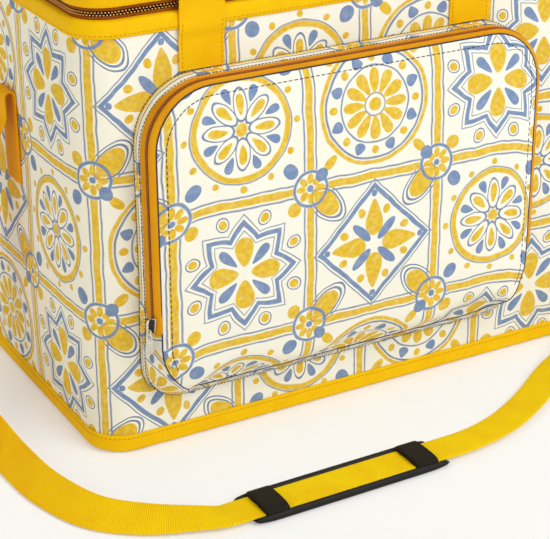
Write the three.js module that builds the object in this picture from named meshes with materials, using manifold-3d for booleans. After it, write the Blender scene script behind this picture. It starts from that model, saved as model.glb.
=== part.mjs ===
// Soft-sided insulated cooler bag: a printed shell round foam panels and a wipe-clean liner, a lid that
// zips round three sides, a zipped front pocket, two carry handles and a sewn-on shoulder strap whose
// slack lies on the floor in front of the bag.
// Millimetres, +Z up, the front towards -Y, the origin on the floor under the middle of the base.
import * as THREE from 'three';
import { mergeVertices } from 'three/addons/utils/BufferGeometryUtils.js';
import Module from 'manifold-3d';

const wasm = await Module();
wasm.setup();

// Gap between pieces that are sewn together or lie against each other
const CLEARANCE = 0.3;

// Body of the bag, measured over the printed shell
const BAG_WIDTH = 480;
const BAG_DEPTH = 314;
const CORNER_RADIUS = 30;
const MOUTH_HEIGHT = 360;
const SHELL_WALL = 1.6;
const FOAM_WALL = 8;
const LINER_WALL = 1;
const BASE_PANEL_THICKNESS = 2;
const BASE_BOARD_THICKNESS = 2.5;
const BASE_FOAM_THICKNESS = 8;

// The pocket, the handles and the main sliders share a middle that lies to one side of the bag's own
const FITTINGS_SHIFT = -23;

// Folded binding tape round the base and the mouth
const BINDING_WALL = 1.3;
const BASE_BINDING_HEIGHT = 16;
const MOUTH_BAND_HEIGHT = 13;

// Main zip, set back from the face of the bag
const ZIP_RECESS = 3;
const ZIP_TAPE_WALL = 1;
const COIL_HEIGHT = 1.7;
const COIL_PROUD = 0.8;
const ZIP_END_FROM_BACK = 44;

// Lid
const LID_BAND_HEIGHT = 21.5;
const LID_BAND_WALL = 1.4;
const LID_BAND_INSET = 1;
const LID_PANEL_THICKNESS = 2;
const LID_FOAM_THICKNESS = 12;
const LID_FOAM_INSET = 8;
const LID_BINDING_DROP = 7;
const LID_BINDING_LAP = 8;
const HINGE_FROM_BACK = 8;

// Front pocket
const POCKET_WIDTH = 359;
const POCKET_BOTTOM = 45;
const POCKET_TOP = 312;
const POCKET_DEPTH = 34;
const POCKET_TOP_RADIUS = 51;
const POCKET_BOTTOM_RADIUS = 32;
const POCKET_WALL = 1.2;
const POCKET_FACE_THICKNESS = 2.6;
const POCKET_LINING_THICKNESS = 1;
const POCKET_REAR_STRIP = 11;
const POCKET_FOOT_STRIP = 6;
const POCKET_REAR_TAPE = 7.5;
const POCKET_FOLD_HEIGHT = 113;
const POCKET_TURN_HEIGHT = 86;
const POCKET_SEAM_DEPTH = 13;

// Zip sliders and their pulls
const SLIDER_LENGTH = 12;
const SLIDER_WIDTH = 8.4;
const SLIDER_PLAY = 0.35;
const SLIDER_NOSE_WIDTH = 6;
const SLIDER_THICKNESS = 3;
const BRIDGE_RISE = 3.6;
const BRIDGE_WIDTH = 2.6;
const BRIDGE_BAR = 1.4;
const BRIDGE_LENGTH = 10;
const PULL_LENGTH = 21.5;
const PULL_WIDTH = 7;
const PULL_THICKNESS = 1.4;
const PULL_EYE_WIDTH = 3.8;
const PULL_EYE_LENGTH = 7;
const PULL_CROSSBAR = 1.6;
const MAIN_SLIDER_SPACING = 15;
const POCKET_SLIDER_RISE = 6.5;

// Carry handles
const HANDLE_WIDTH = 38;
const HANDLE_THICKNESS = 2;
const HANDLE_SPACING = 243;
const HANDLE_ABOVE_POCKET = 2;
const HANDLE_RISE = 134;
const HANDLE_STRAIGHT = 40;
const HANDLE_TWIST = 0.85;
const HANDLE_LEAN = 0.1;

// Shoulder strap, its sewn ends and its sliding pad
const STRAP_WIDTH = 30;
const STRAP_THICKNESS = 1.8;
const ANCHOR_FOOT = 189;
const ANCHOR_TOP = 270;
const ANCHOR_FOLD_RADIUS = 7.5;
const ANCHOR_TAIL = 5;
const PAD_LENGTH = 176;
const PAD_FLOOR = 3.4;
const PAD_RIM_WIDTH = 2.8;
const PAD_RIM_HEIGHT = 1.8;
const PAD_SIDE_PLAY = 0.6;
const PAD_NOSE = 14;
const KEEPER_WIDTH = 19;
const KEEPER_WALL = 2.4;
const KEEPER_FROM_END = 20;
const PAD_CENTRE_X = -92;
const PAD_FROM_FRONT = 126.5;
const PAD_TURN = THREE.MathUtils.degToRad(0.5);

// Straight pieces that one round corner, or one strap span, is drawn with
const CORNER_STEPS = 6;
const STRAP_STEPS_PER_SPAN = 3;

const HALF_WIDTH = BAG_WIDTH / 2;
const HALF_DEPTH = BAG_DEPTH / 2;
const HALF_PI = Math.PI / 2;

// Finishes, read from the photograph
const PRINTED_CANVAS = { color: 0xeee0b0, roughness: 0.85, metalness: 0 };
const YELLOW_WEBBING = { color: 0xf2b90f, roughness: 0.75, metalness: 0 };
const YELLOW_TAPE = { color: 0xe9ae10, roughness: 0.8, metalness: 0 };
const ZIP_COIL = { color: 0xb8790f, roughness: 0.5, metalness: 0 };
const BRIGHT_METAL = { color: 0xc8c8c6, roughness: 0.3, metalness: 1 };
const WHITE_FOAM = { color: 0xf3f2ee, roughness: 0.9, metalness: 0 };
const SILVER_LINER = { color: 0xd9dcdd, roughness: 0.35, metalness: 0.2 };
const STIFF_BOARD = { color: 0x3a3a3a, roughness: 0.7, metalness: 0 };
const BLACK_RUBBER = { color: 0x1c1b1a, roughness: 0.8, metalness: 0 };

// Turns a list of triangle corners into a geometry whose faces point out.
function outward(corners) {
  let volume = 0;
  for (let i = 0; i < corners.length; i += 3) {
    volume += corners[i].dot(corners[i + 1].clone().cross(corners[i + 2]));
  }
  return new THREE.BufferGeometry().setFromPoints(volume < 0 ? [...corners].reverse() : corners);
}

// Joins like sections in a row; a list of cap triangles closes the two ends, and no list closes the row.
function loft(sections, caps) {
  const corners = [];
  const spans = caps ? sections.length - 1 : sections.length;
  for (let i = 0; i < spans; i += 1) {
    const here = sections[i];
    const next = sections[(i + 1) % sections.length];
    here.forEach((point, k) => {
      const m = (k + 1) % here.length;
      corners.push(point, here[m], next[m], point, next[m], next[k]);
    });
  }
  for (const [a, b, c] of caps ?? []) {
    const first = sections[0];
    const last = sections[sections.length - 1];
    corners.push(first[c], first[b], first[a], last[a], last[b], last[c]);
  }
  return outward(corners);
}

// Carries a closed profile of [inset, level] points along an outline that takes the inset.
function sweep(profile, outline, closed) {
  const rings = profile.map(([inset, level]) => (
    outline(inset).map((point) => new THREE.Vector3(point.x, point.y, level))
  ));
  const sections = rings[0].map((_, i) => rings.map((ring) => ring[i]));
  const flat = profile.map(([inset, level]) => new THREE.Vector2(inset, level));
  return loft(sections, closed ? undefined : THREE.ShapeUtils.triangulateShape(flat, []));
}

function box(insetFrom, insetTo, levelFrom, levelTo) {
  return [[insetFrom, levelFrom], [insetTo, levelFrom], [insetTo, levelTo], [insetFrom, levelTo]];
}

// Flat strip of webbing along points, each with the direction that its width lies in.
function webbing(points, acrosses, width, thickness) {
  const sections = points.map((point, i) => {
    const ahead = points[Math.min(i + 1, points.length - 1)];
    const along = ahead.clone().sub(points[Math.max(i - 1, 0)]).normalize();
    const across = acrosses[i].clone().addScaledVector(along, -along.dot(acrosses[i])).normalize();
    const face = along.clone().cross(across).multiplyScalar(thickness / 2);
    across.multiplyScalar(width / 2);
    return [[1, 1], [-1, 1], [-1, -1], [1, -1]].map(([side, layer]) => (
      point.clone().addScaledVector(across, side).addScaledVector(face, layer)
    ));
  });
  return loft(sections, [[0, 1, 2], [0, 2, 3]]);
}

function extrude(shape, levelFrom, levelTo) {
  const options = { depth: levelTo - levelFrom, bevelEnabled: false, curveSegments: CORNER_STEPS };
  return new THREE.ExtrudeGeometry(shape, options).translate(0, 0, levelFrom);
}

function toSolid(geometry) {
  const bare = geometry.clone();
  bare.deleteAttribute('normal');
  bare.deleteAttribute('uv');
  const merged = mergeVertices(bare);
  return new wasm.Manifold(new wasm.Mesh({
    numProp: 3,
    vertProperties: merged.attributes.position.array,
    triVerts: Uint32Array.from(merged.index.array),
  }));
}

function toGeometry(solid) {
  const mesh = solid.getMesh();
  const geometry = new THREE.BufferGeometry();
  geometry.setAttribute('position', new THREE.BufferAttribute(mesh.vertProperties, 3));
  geometry.setIndex(new THREE.BufferAttribute(mesh.triVerts, 1));
  return geometry;
}

const cut = (piece, tool) => toGeometry(toSolid(piece).subtract(toSolid(tool)));
const join = (piece, other) => toGeometry(toSolid(piece).add(toSolid(other)));
const meet = (piece, other) => toGeometry(toSolid(piece).intersect(toSolid(other)));

function add(group, name, geometry, finish) {
  const mesh = new THREE.Mesh(geometry, new THREE.MeshStandardMaterial(finish));
  mesh.name = name;
  group.add(mesh);
  return mesh;
}

function arc(centreX, centreY, radius, from, to) {
  const points = [];
  for (let step = 0; step <= CORNER_STEPS; step += 1) {
    const angle = from + (to - from) * step / CORNER_STEPS;
    points.push(new THREE.Vector2(centreX + radius * Math.cos(angle), centreY + radius * Math.sin(angle)));
  }
  return points;
}

// Plan of the bag, whole and in two runs that meet where the main zip ends
const CORNER_X = HALF_WIDTH - CORNER_RADIUS;
const CORNER_Y = HALF_DEPTH - CORNER_RADIUS;
const ZIP_END = HALF_DEPTH - ZIP_END_FROM_BACK;

function bagCorner(sideX, sideY, inset, from) {
  return arc(sideX * CORNER_X, sideY * CORNER_Y, CORNER_RADIUS - inset, from, from + HALF_PI);
}

function bagOutline(inset) {
  return [
    ...bagCorner(1, -1, inset, -HALF_PI),
    ...bagCorner(1, 1, inset, 0),
    ...bagCorner(-1, 1, inset, HALF_PI),
    ...bagCorner(-1, -1, inset, Math.PI),
  ];
}

function frontRun(inset) {
  return [
    new THREE.Vector2(-HALF_WIDTH + inset, ZIP_END),
    ...bagCorner(-1, -1, inset, Math.PI),
    ...bagCorner(1, -1, inset, -HALF_PI),
    new THREE.Vector2(HALF_WIDTH - inset, ZIP_END),
  ];
}

function rearRun(inset) {
  return [
    new THREE.Vector2(HALF_WIDTH - inset, ZIP_END + CLEARANCE),
    ...bagCorner(1, 1, inset, 0),
    ...bagCorner(-1, 1, inset, HALF_PI),
    new THREE.Vector2(-HALF_WIDTH + inset, ZIP_END + CLEARANCE),
  ];
}

const bagPlan = (inset) => new THREE.Shape(bagOutline(inset));

// Layers of the wall, from the face of the shell inwards
const FOAM_INSET = SHELL_WALL + CLEARANCE;
const LINER_INSET = FOAM_INSET + FOAM_WALL + CLEARANCE;
const LINER_FACE = LINER_INSET + LINER_WALL;
const BINDING_FACE = -CLEARANCE - BINDING_WALL;

// Layers of the base, from the floor up
const BOARD_LEVEL = BASE_PANEL_THICKNESS + CLEARANCE;
const BASE_FOAM_LEVEL = BOARD_LEVEL + BASE_BOARD_THICKNESS + CLEARANCE;
const LINER_LEVEL = BASE_FOAM_LEVEL + BASE_FOAM_THICKNESS + CLEARANCE;
const WALL_TOP = MOUTH_HEIGHT - BINDING_WALL - CLEARANCE;

const coolerBag = new THREE.Group();
const fittings = new THREE.Group();
fittings.position.x = FITTINGS_SHIFT;
coolerBag.add(fittings);

function addShell() {
  add(coolerBag, 'base_panel', extrude(bagPlan(0), 0, BASE_PANEL_THICKNESS), PRINTED_CANVAS);
  const wall = box(0, SHELL_WALL, BOARD_LEVEL, WALL_TOP);
  add(coolerBag, 'outer_shell', sweep(wall, bagOutline, true), PRINTED_CANVAS);
  const binding = box(BINDING_FACE, -CLEARANCE, 0, BASE_BINDING_HEIGHT);
  add(coolerBag, 'base_binding', sweep(binding, bagOutline, true), YELLOW_TAPE);
  const mouth = [
    [BINDING_FACE, MOUTH_HEIGHT - MOUTH_BAND_HEIGHT],
    [-CLEARANCE, MOUTH_HEIGHT - MOUTH_BAND_HEIGHT],
    [-CLEARANCE, MOUTH_HEIGHT - BINDING_WALL],
    [LINER_FACE + CLEARANCE, MOUTH_HEIGHT - BINDING_WALL],
    [LINER_FACE + CLEARANCE, MOUTH_HEIGHT - MOUTH_BAND_HEIGHT],
    [LINER_FACE + CLEARANCE + BINDING_WALL, MOUTH_HEIGHT - MOUTH_BAND_HEIGHT],
    [LINER_FACE + CLEARANCE + BINDING_WALL, MOUTH_HEIGHT],
    [BINDING_FACE, MOUTH_HEIGHT],
  ];
  add(coolerBag, 'mouth_band', sweep(mouth, bagOutline, true), YELLOW_TAPE);
}

function addInsulation() {
  const boardTop = BOARD_LEVEL + BASE_BOARD_THICKNESS;
  add(coolerBag, 'base_board', extrude(bagPlan(FOAM_INSET), BOARD_LEVEL, boardTop), STIFF_BOARD);
  const baseFoamTop = BASE_FOAM_LEVEL + BASE_FOAM_THICKNESS;
  add(coolerBag, 'base_foam', extrude(bagPlan(LINER_INSET), BASE_FOAM_LEVEL, baseFoamTop), WHITE_FOAM);
  const foamHeight = WALL_TOP - BASE_FOAM_LEVEL;
  const foamMiddle = FOAM_INSET + FOAM_WALL / 2;
  for (const [name, side] of [['front_foam', -1], ['back_foam', 1]]) {
    const sheet = new THREE.BoxGeometry(2 * CORNER_X, FOAM_WALL, foamHeight);
    const foam = add(coolerBag, name, sheet, WHITE_FOAM);
    foam.position.set(0, side * (HALF_DEPTH - foamMiddle), BASE_FOAM_LEVEL + foamHeight / 2);
  }
  for (const [name, side] of [['left_foam', -1], ['right_foam', 1]]) {
    const sheet = new THREE.BoxGeometry(FOAM_WALL, 2 * CORNER_Y, foamHeight);
    const foam = add(coolerBag, name, sheet, WHITE_FOAM);
    foam.position.set(side * (HALF_WIDTH - foamMiddle), 0, BASE_FOAM_LEVEL + foamHeight / 2);
  }
  const tub = extrude(bagPlan(LINER_INSET), LINER_LEVEL, WALL_TOP);
  const room = extrude(bagPlan(LINER_FACE), LINER_LEVEL + LINER_WALL, MOUTH_HEIGHT);
  add(coolerBag, 'inner_liner', cut(tub, room), SILVER_LINER);
}

// Levels of the main zip, from the mouth band up to the lid; the slider sets how much tape shows
const MAIN_TAPE_HEIGHT = SLIDER_WIDTH / 2 + SLIDER_PLAY - COIL_HEIGHT - 2.5 * CLEARANCE;
const BODY_TAPE_LEVEL = MOUTH_HEIGHT + CLEARANCE;
const BODY_COIL_LEVEL = BODY_TAPE_LEVEL + MAIN_TAPE_HEIGHT + CLEARANCE;
const LID_COIL_LEVEL = BODY_COIL_LEVEL + COIL_HEIGHT + CLEARANCE;
const LID_TAPE_LEVEL = LID_COIL_LEVEL + COIL_HEIGHT + CLEARANCE;
const LID_LEVEL = LID_TAPE_LEVEL + MAIN_TAPE_HEIGHT + CLEARANCE;
const LID_BAND_TOP = LID_LEVEL + LID_BAND_HEIGHT;
const LID_PANEL_LEVEL = LID_BAND_TOP + CLEARANCE;
const LID_TOP = LID_PANEL_LEVEL + LID_PANEL_THICKNESS;
const HINGE_Y = HALF_DEPTH - HINGE_FROM_BACK;
const ZIP_TAPE_BACK = ZIP_RECESS + ZIP_TAPE_WALL;

function mainZipHalf(group, half, tapeLevel, coilLevel) {
  const tape = box(ZIP_RECESS, ZIP_TAPE_BACK, tapeLevel, tapeLevel + MAIN_TAPE_HEIGHT);
  add(group, `${half}_zip_tape`, sweep(tape, frontRun, false), YELLOW_TAPE);
  const coil = box(ZIP_RECESS - COIL_PROUD, ZIP_TAPE_BACK + COIL_PROUD, coilLevel, coilLevel + COIL_HEIGHT);
  add(group, `${half}_zip_coil`, sweep(coil, frontRun, false), ZIP_COIL);
}

// The back wall carries on past the mouth and turns in to the line that the lid swings on.
function addBackRiser() {
  const top = LID_BAND_TOP;
  const face = LID_BAND_INSET;
  const inside = face + LID_BAND_WALL;
  const turnIn = HINGE_FROM_BACK - CLEARANCE;
  const riser = [
    [face, MOUTH_HEIGHT + CLEARANCE],
    [inside, MOUTH_HEIGHT + CLEARANCE],
    [inside, top - LID_BAND_WALL],
    [turnIn, top - LID_BAND_WALL],
    [turnIn, top],
    [face, top],
  ];
  add(coolerBag, 'back_riser', sweep(riser, rearRun, false), YELLOW_WEBBING);
}

// Plan of the lid: round at the front, cut straight along the hinge line.
function lidPlan(inset, rear) {
  const radius = CORNER_RADIUS - inset;
  const turn = Math.asin((rear - CORNER_Y) / radius);
  return new THREE.Shape([
    ...arc(CORNER_X, -CORNER_Y, radius, -HALF_PI, 0),
    ...arc(CORNER_X, CORNER_Y, radius, 0, turn),
    ...arc(-CORNER_X, CORNER_Y, radius, Math.PI - turn, Math.PI),
    ...arc(-CORNER_X, -CORNER_Y, radius, Math.PI, Math.PI + HALF_PI),
  ]);
}

const lid = new THREE.Group();
coolerBag.add(lid);

function addLid() {
  const face = LID_BAND_INSET;
  const inside = face + LID_BAND_WALL;
  const ledge = ZIP_TAPE_BACK + COIL_PROUD;
  const band = [
    [face, LID_LEVEL],
    [ledge, LID_LEVEL],
    [ledge, LID_LEVEL + LID_BAND_WALL],
    [inside, LID_LEVEL + LID_BAND_WALL],
    [inside, LID_BAND_TOP],
    [face, LID_BAND_TOP],
  ];
  add(lid, 'lid_band', sweep(band, frontRun, false), YELLOW_WEBBING);
  add(lid, 'lid_panel', extrude(lidPlan(face, HINGE_Y), LID_PANEL_LEVEL, LID_TOP), PRINTED_CANVAS);
  const edge = face - CLEARANCE;
  const binding = [
    [edge - BINDING_WALL, LID_BAND_TOP - LID_BINDING_DROP],
    [edge, LID_BAND_TOP - LID_BINDING_DROP],
    [edge, LID_TOP + CLEARANCE],
    [edge + LID_BINDING_LAP, LID_TOP + CLEARANCE],
    [edge + LID_BINDING_LAP, LID_TOP + CLEARANCE + BINDING_WALL],
    [edge - BINDING_WALL, LID_TOP + CLEARANCE + BINDING_WALL],
  ];
  add(lid, 'lid_binding', sweep(binding, frontRun, false), YELLOW_TAPE);
  const foamLevel = LID_BAND_TOP - LID_FOAM_THICKNESS;
  const foamRear = HINGE_Y - CLEARANCE;
  add(lid, 'lid_foam', extrude(lidPlan(LID_FOAM_INSET, foamRear), foamLevel, LID_BAND_TOP), WHITE_FOAM);
  const linerTop = foamLevel - CLEARANCE;
  const linerPlan = lidPlan(LID_FOAM_INSET, foamRear);
  add(lid, 'lid_liner', extrude(linerPlan, linerTop - LINER_WALL, linerTop), SILVER_LINER);
}

// Front pocket: drawn in the plane of the front panel, levels count forward from the shell's face.
const pocketFrame = new THREE.Group();
pocketFrame.position.y = -HALF_DEPTH;
pocketFrame.rotation.x = HALF_PI;
const pocket = new THREE.Group();
const pocketFlap = new THREE.Group();
pocketFrame.add(pocket, pocketFlap);
fittings.add(pocketFrame);

const POCKET_HALF = POCKET_WIDTH / 2;
const REAR_STRIP_END = POCKET_REAR_STRIP;
const REAR_TAPE_LEVEL = REAR_STRIP_END + CLEARANCE;
const REAR_COIL_LEVEL = REAR_TAPE_LEVEL + POCKET_REAR_TAPE + CLEARANCE;
const FRONT_COIL_LEVEL = REAR_COIL_LEVEL + COIL_HEIGHT + CLEARANCE;
const FRONT_TAPE_LEVEL = FRONT_COIL_LEVEL + COIL_HEIGHT + CLEARANCE;
const POCKET_FACE_LEVEL = POCKET_DEPTH - POCKET_FACE_THICKNESS;
const GUSSET_END = POCKET_FACE_LEVEL - CLEARANCE;

function pocketArch(foot) {
  const x = POCKET_HALF - POCKET_TOP_RADIUS;
  const z = POCKET_TOP - POCKET_TOP_RADIUS;
  return (inset) => [
    new THREE.Vector2(POCKET_HALF - inset, foot),
    ...arc(x, z, POCKET_TOP_RADIUS - inset, 0, HALF_PI),
    ...arc(-x, z, POCKET_TOP_RADIUS - inset, HALF_PI, Math.PI),
    new THREE.Vector2(-POCKET_HALF + inset, foot),
  ];
}

function pocketTrough(rim) {
  const x = POCKET_HALF - POCKET_BOTTOM_RADIUS;
  const z = POCKET_BOTTOM + POCKET_BOTTOM_RADIUS;
  return (inset) => [
    new THREE.Vector2(-POCKET_HALF + inset, rim),
    ...arc(-x, z, POCKET_BOTTOM_RADIUS - inset, Math.PI, Math.PI + HALF_PI),
    ...arc(x, z, POCKET_BOTTOM_RADIUS - inset, -HALF_PI, 0),
    new THREE.Vector2(POCKET_HALF - inset, rim),
  ];
}

const FOLD_ABOVE = POCKET_FOLD_HEIGHT + CLEARANCE;
const FOLD_BELOW = POCKET_FOLD_HEIGHT - CLEARANCE;
const pocketZipRun = pocketArch(FOLD_ABOVE);
const pocketLowerRun = pocketTrough(FOLD_BELOW);
const pocketOutline = (inset) => [...pocketZipRun(inset).slice(1, -1), ...pocketLowerRun(inset).slice(1, -1)];

// Room behind the lower face, so far under its surface: the face hangs straight down from the fold, then
// turns under and slopes back to the seam at the foot of the pocket.
function roomBehindFace(under) {
  const slope = (POCKET_DEPTH - POCKET_SEAM_DEPTH) / (POCKET_TURN_HEIGHT - POCKET_BOTTOM);
  const slant = Math.hypot(1, slope);
  const front = POCKET_DEPTH - under;
  const turn = POCKET_TURN_HEIGHT + under * (slant - 1) / slope;
  const foot = POCKET_SEAM_DEPTH - under * slant;
  const section = new THREE.Shape([
    new THREE.Vector2(0, FOLD_BELOW),
    new THREE.Vector2(0, POCKET_BOTTOM),
    new THREE.Vector2(foot, POCKET_BOTTOM),
    new THREE.Vector2(front, turn),
    new THREE.Vector2(front, FOLD_BELOW),
  ]);
  return extrude(section, -POCKET_HALF, POCKET_HALF).rotateY(-HALF_PI);
}

function addPocketBody() {
  const besideZip = sweep(box(0, POCKET_WALL, CLEARANCE, REAR_STRIP_END), pocketZipRun, false);
  const allRound = sweep(box(0, POCKET_WALL, CLEARANCE, POCKET_FOOT_STRIP), pocketOutline, true);
  add(pocket, 'pocket_rear_gusset', join(allRound, besideZip), PRINTED_CANVAS);
  const footWallLevel = POCKET_FOOT_STRIP + CLEARANCE;
  const wall = sweep(box(0, POCKET_WALL, footWallLevel, POCKET_DEPTH), pocketLowerRun, false);
  const behindFace = roomBehindFace(POCKET_FACE_THICKNESS + CLEARANCE);
  add(pocket, 'pocket_lower_gusset', meet(wall, behindFace), PRINTED_CANVAS);
  const lowerFace = extrude(new THREE.Shape(pocketLowerRun(0)), footWallLevel, POCKET_DEPTH);
  const panel = cut(meet(lowerFace, roomBehindFace(0)), roomBehindFace(POCKET_FACE_THICKNESS));
  add(pocket, 'pocket_lower_panel', panel, PRINTED_CANVAS);
}

function pocketZipHalf(group, half, tapeFrom, tapeTo, coilLevel) {
  const tape = box(POCKET_WALL - ZIP_TAPE_WALL, POCKET_WALL, tapeFrom, tapeTo);
  add(group, `pocket_${half}_zip_tape`, sweep(tape, pocketZipRun, false), YELLOW_TAPE);
  const coil = box(-COIL_PROUD, POCKET_WALL + COIL_PROUD, coilLevel, coilLevel + COIL_HEIGHT);
  add(group, `pocket_${half}_coil`, sweep(coil, pocketZipRun, false), ZIP_COIL);
}

function addPocketFlap() {
  const face = new THREE.Shape(pocketZipRun(0));
  add(pocketFlap, 'pocket_flap_panel', extrude(face, POCKET_FACE_LEVEL, POCKET_DEPTH), PRINTED_CANVAS);
  const lining = new THREE.Shape(pocketZipRun(POCKET_WALL + CLEARANCE));
  const liningLevel = GUSSET_END - POCKET_LINING_THICKNESS;
  add(pocketFlap, 'pocket_flap_lining', extrude(lining, liningLevel, GUSSET_END), YELLOW_TAPE);
}

// Zip slider, drawn lying on the teeth: it runs along Y and its bridge stands up in Z.
function sliderGeometry() {
  const end = SLIDER_LENGTH / 2;
  const tail = SLIDER_NOSE_WIDTH / 2;
  const nose = SLIDER_WIDTH / 2;
  const plan = new THREE.Shape([
    new THREE.Vector2(-tail, -end),
    new THREE.Vector2(tail, -end),
    new THREE.Vector2(nose, 0),
    new THREE.Vector2(nose, end),
    new THREE.Vector2(-nose, end),
    new THREE.Vector2(-nose, 0),
  ]);
  const body = extrude(plan, 0, SLIDER_THICKNESS);
  const foot = BRIDGE_LENGTH / 2;
  const root = SLIDER_THICKNESS / 2;
  const crown = SLIDER_THICKNESS + BRIDGE_RISE;
  const arch = new THREE.Shape([
    new THREE.Vector2(-foot, root),
    new THREE.Vector2(-foot + BRIDGE_BAR, root),
    new THREE.Vector2(-foot + BRIDGE_BAR, crown - BRIDGE_BAR),
    new THREE.Vector2(foot - BRIDGE_BAR, crown - BRIDGE_BAR),
    new THREE.Vector2(foot - BRIDGE_BAR, root),
    new THREE.Vector2(foot, root),
    new THREE.Vector2(foot, crown),
    new THREE.Vector2(-foot, crown),
  ]);
  const bridge = extrude(arch, -BRIDGE_WIDTH / 2, BRIDGE_WIDTH / 2).rotateX(HALF_PI).rotateZ(HALF_PI);
  return join(body, bridge);
}

// Height of the pull's crossbar, which turns under the bridge
const PULL_AXIS = SLIDER_THICKNESS + (BRIDGE_RISE - BRIDGE_BAR) / 2;

function pullGeometry() {
  const half = PULL_WIDTH / 2;
  const top = PULL_CROSSBAR / 2;
  const tip = top - PULL_LENGTH;
  const tab = new THREE.Shape();
  tab.moveTo(half, top);
  tab.lineTo(-half, top);
  tab.lineTo(-half, tip + half);
  tab.absarc(0, tip + half, half, Math.PI, 2 * Math.PI);
  const eye = PULL_EYE_WIDTH / 2;
  tab.holes.push(new THREE.Path([
    new THREE.Vector2(-eye, -top),
    new THREE.Vector2(eye, -top),
    new THREE.Vector2(eye, -top - PULL_EYE_LENGTH),
    new THREE.Vector2(-eye, -top - PULL_EYE_LENGTH),
  ]));
  return extrude(tab, PULL_AXIS - PULL_THICKNESS / 2, PULL_AXIS + PULL_THICKNESS / 2);
}

// Seats a slider and its pull at a place, running along one direction with its back to another.
function addSlider(slider, pull, place, along, out) {
  const seat = new THREE.Group();
  const across = along.clone().cross(out);
  seat.setRotationFromMatrix(new THREE.Matrix4().makeBasis(across, along, out));
  seat.position.copy(place);
  add(seat, slider, sliderGeometry(), BRIGHT_METAL);
  add(seat, pull, pullGeometry(), BRIGHT_METAL);
  fittings.add(seat);
}

function addSliders() {
  const zipFace = -HALF_DEPTH + ZIP_RECESS - COIL_PROUD - CLEARANCE;
  const zipMiddle = LID_COIL_LEVEL - CLEARANCE / 2;
  for (const [side, sign] of [['left', -1], ['right', 1]]) {
    const place = new THREE.Vector3(sign * MAIN_SLIDER_SPACING / 2, zipFace, zipMiddle);
    const along = new THREE.Vector3(-sign, 0, 0);
    addSlider(`main_slider_${side}`, `main_pull_${side}`, place, along, new THREE.Vector3(0, -1, 0));
  }
  const pocketPlace = new THREE.Vector3(
    -POCKET_HALF - COIL_PROUD - CLEARANCE,
    -HALF_DEPTH - FRONT_COIL_LEVEL + CLEARANCE / 2,
    FOLD_ABOVE + POCKET_SLIDER_RISE,
  );
  const up = new THREE.Vector3(0, 0, 1);
  addSlider('pocket_slider', 'pocket_pull', pocketPlace, up, new THREE.Vector3(-1, 0, 0));
}

// Handles: a leg sewn to the panel at each side, and a loop that swings at the mouth of the bag.
const LEG_ON_SHELL = HALF_DEPTH + CLEARANCE + HANDLE_THICKNESS / 2;
const LEG_ON_BAND = HALF_DEPTH - BINDING_FACE + CLEARANCE + HANDLE_THICKNESS / 2;
const HANDLE_PIVOT_HEIGHT = MOUTH_HEIGHT;

function handleLeg(x, side) {
  const bandFoot = MOUTH_HEIGHT - MOUTH_BAND_HEIGHT;
  const stepOver = 2 * (LEG_ON_BAND - LEG_ON_SHELL);
  const route = [
    [LEG_ON_SHELL, POCKET_TOP + HANDLE_ABOVE_POCKET],
    [LEG_ON_SHELL, bandFoot - 2 * stepOver],
    [LEG_ON_BAND, bandFoot - stepOver],
    [LEG_ON_BAND, HANDLE_PIVOT_HEIGHT - CLEARANCE],
  ];
  const points = route.map(([out, height]) => new THREE.Vector3(x, side * out, height));
  const acrosses = points.map(() => new THREE.Vector3(1, 0, 0));
  return webbing(points, acrosses, HANDLE_WIDTH, HANDLE_THICKNESS);
}

function handleLoop(side) {
  const half = HANDLE_SPACING / 2;
  const foot = HANDLE_PIVOT_HEIGHT + CLEARANCE;
  const archRise = HANDLE_RISE - HANDLE_STRAIGHT;
  const steps = 4 * CORNER_STEPS;
  const points = [new THREE.Vector3(-half, side * LEG_ON_BAND, foot)];
  const acrosses = [new THREE.Vector3(1, 0, 0)];
  for (let step = 0; step <= steps; step += 1) {
    const angle = Math.PI * (1 - step / steps);
    const crown = Math.sin(angle);
    const rise = HANDLE_STRAIGHT + archRise * crown;
    const out = LEG_ON_BAND + HANDLE_LEAN * rise;
    points.push(new THREE.Vector3(half * Math.cos(angle), side * out, foot + rise));
    const twist = HANDLE_TWIST * crown;
    const turnOut = side * crown * Math.sin(twist);
    acrosses.push(new THREE.Vector3(-Math.cos(angle), turnOut, -crown * Math.cos(twist)));
  }
  points.push(new THREE.Vector3(half, side * LEG_ON_BAND, foot));
  acrosses.push(new THREE.Vector3(-1, 0, 0));
  return webbing(points, acrosses, HANDLE_WIDTH, HANDLE_THICKNESS);
}

function addHandles() {
  for (const [face, side] of [['front', -1], ['back', 1]]) {
    for (const [hand, sign] of [['left', -1], ['right', 1]]) {
      const leg = handleLeg(sign * HANDLE_SPACING / 2, side);
      add(fittings, `${face}_handle_leg_${hand}`, leg, YELLOW_WEBBING);
    }
    add(fittings, `${face}_handle_loop`, handleLoop(side), YELLOW_WEBBING);
  }
}

// Strap ends: sewn up each side panel, folded out over the top and left hanging as the strap.
const ANCHOR_LAYER = HALF_WIDTH + CLEARANCE + STRAP_THICKNESS / 2;
const STRAP_HANG = ANCHOR_LAYER + 2 * ANCHOR_FOLD_RADIUS;
const FOLD_CENTRE = ANCHOR_TOP - ANCHOR_FOLD_RADIUS - STRAP_THICKNESS / 2;
const STRAP_END_HEIGHT = FOLD_CENTRE - ANCHOR_TAIL - CLEARANCE;

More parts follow.
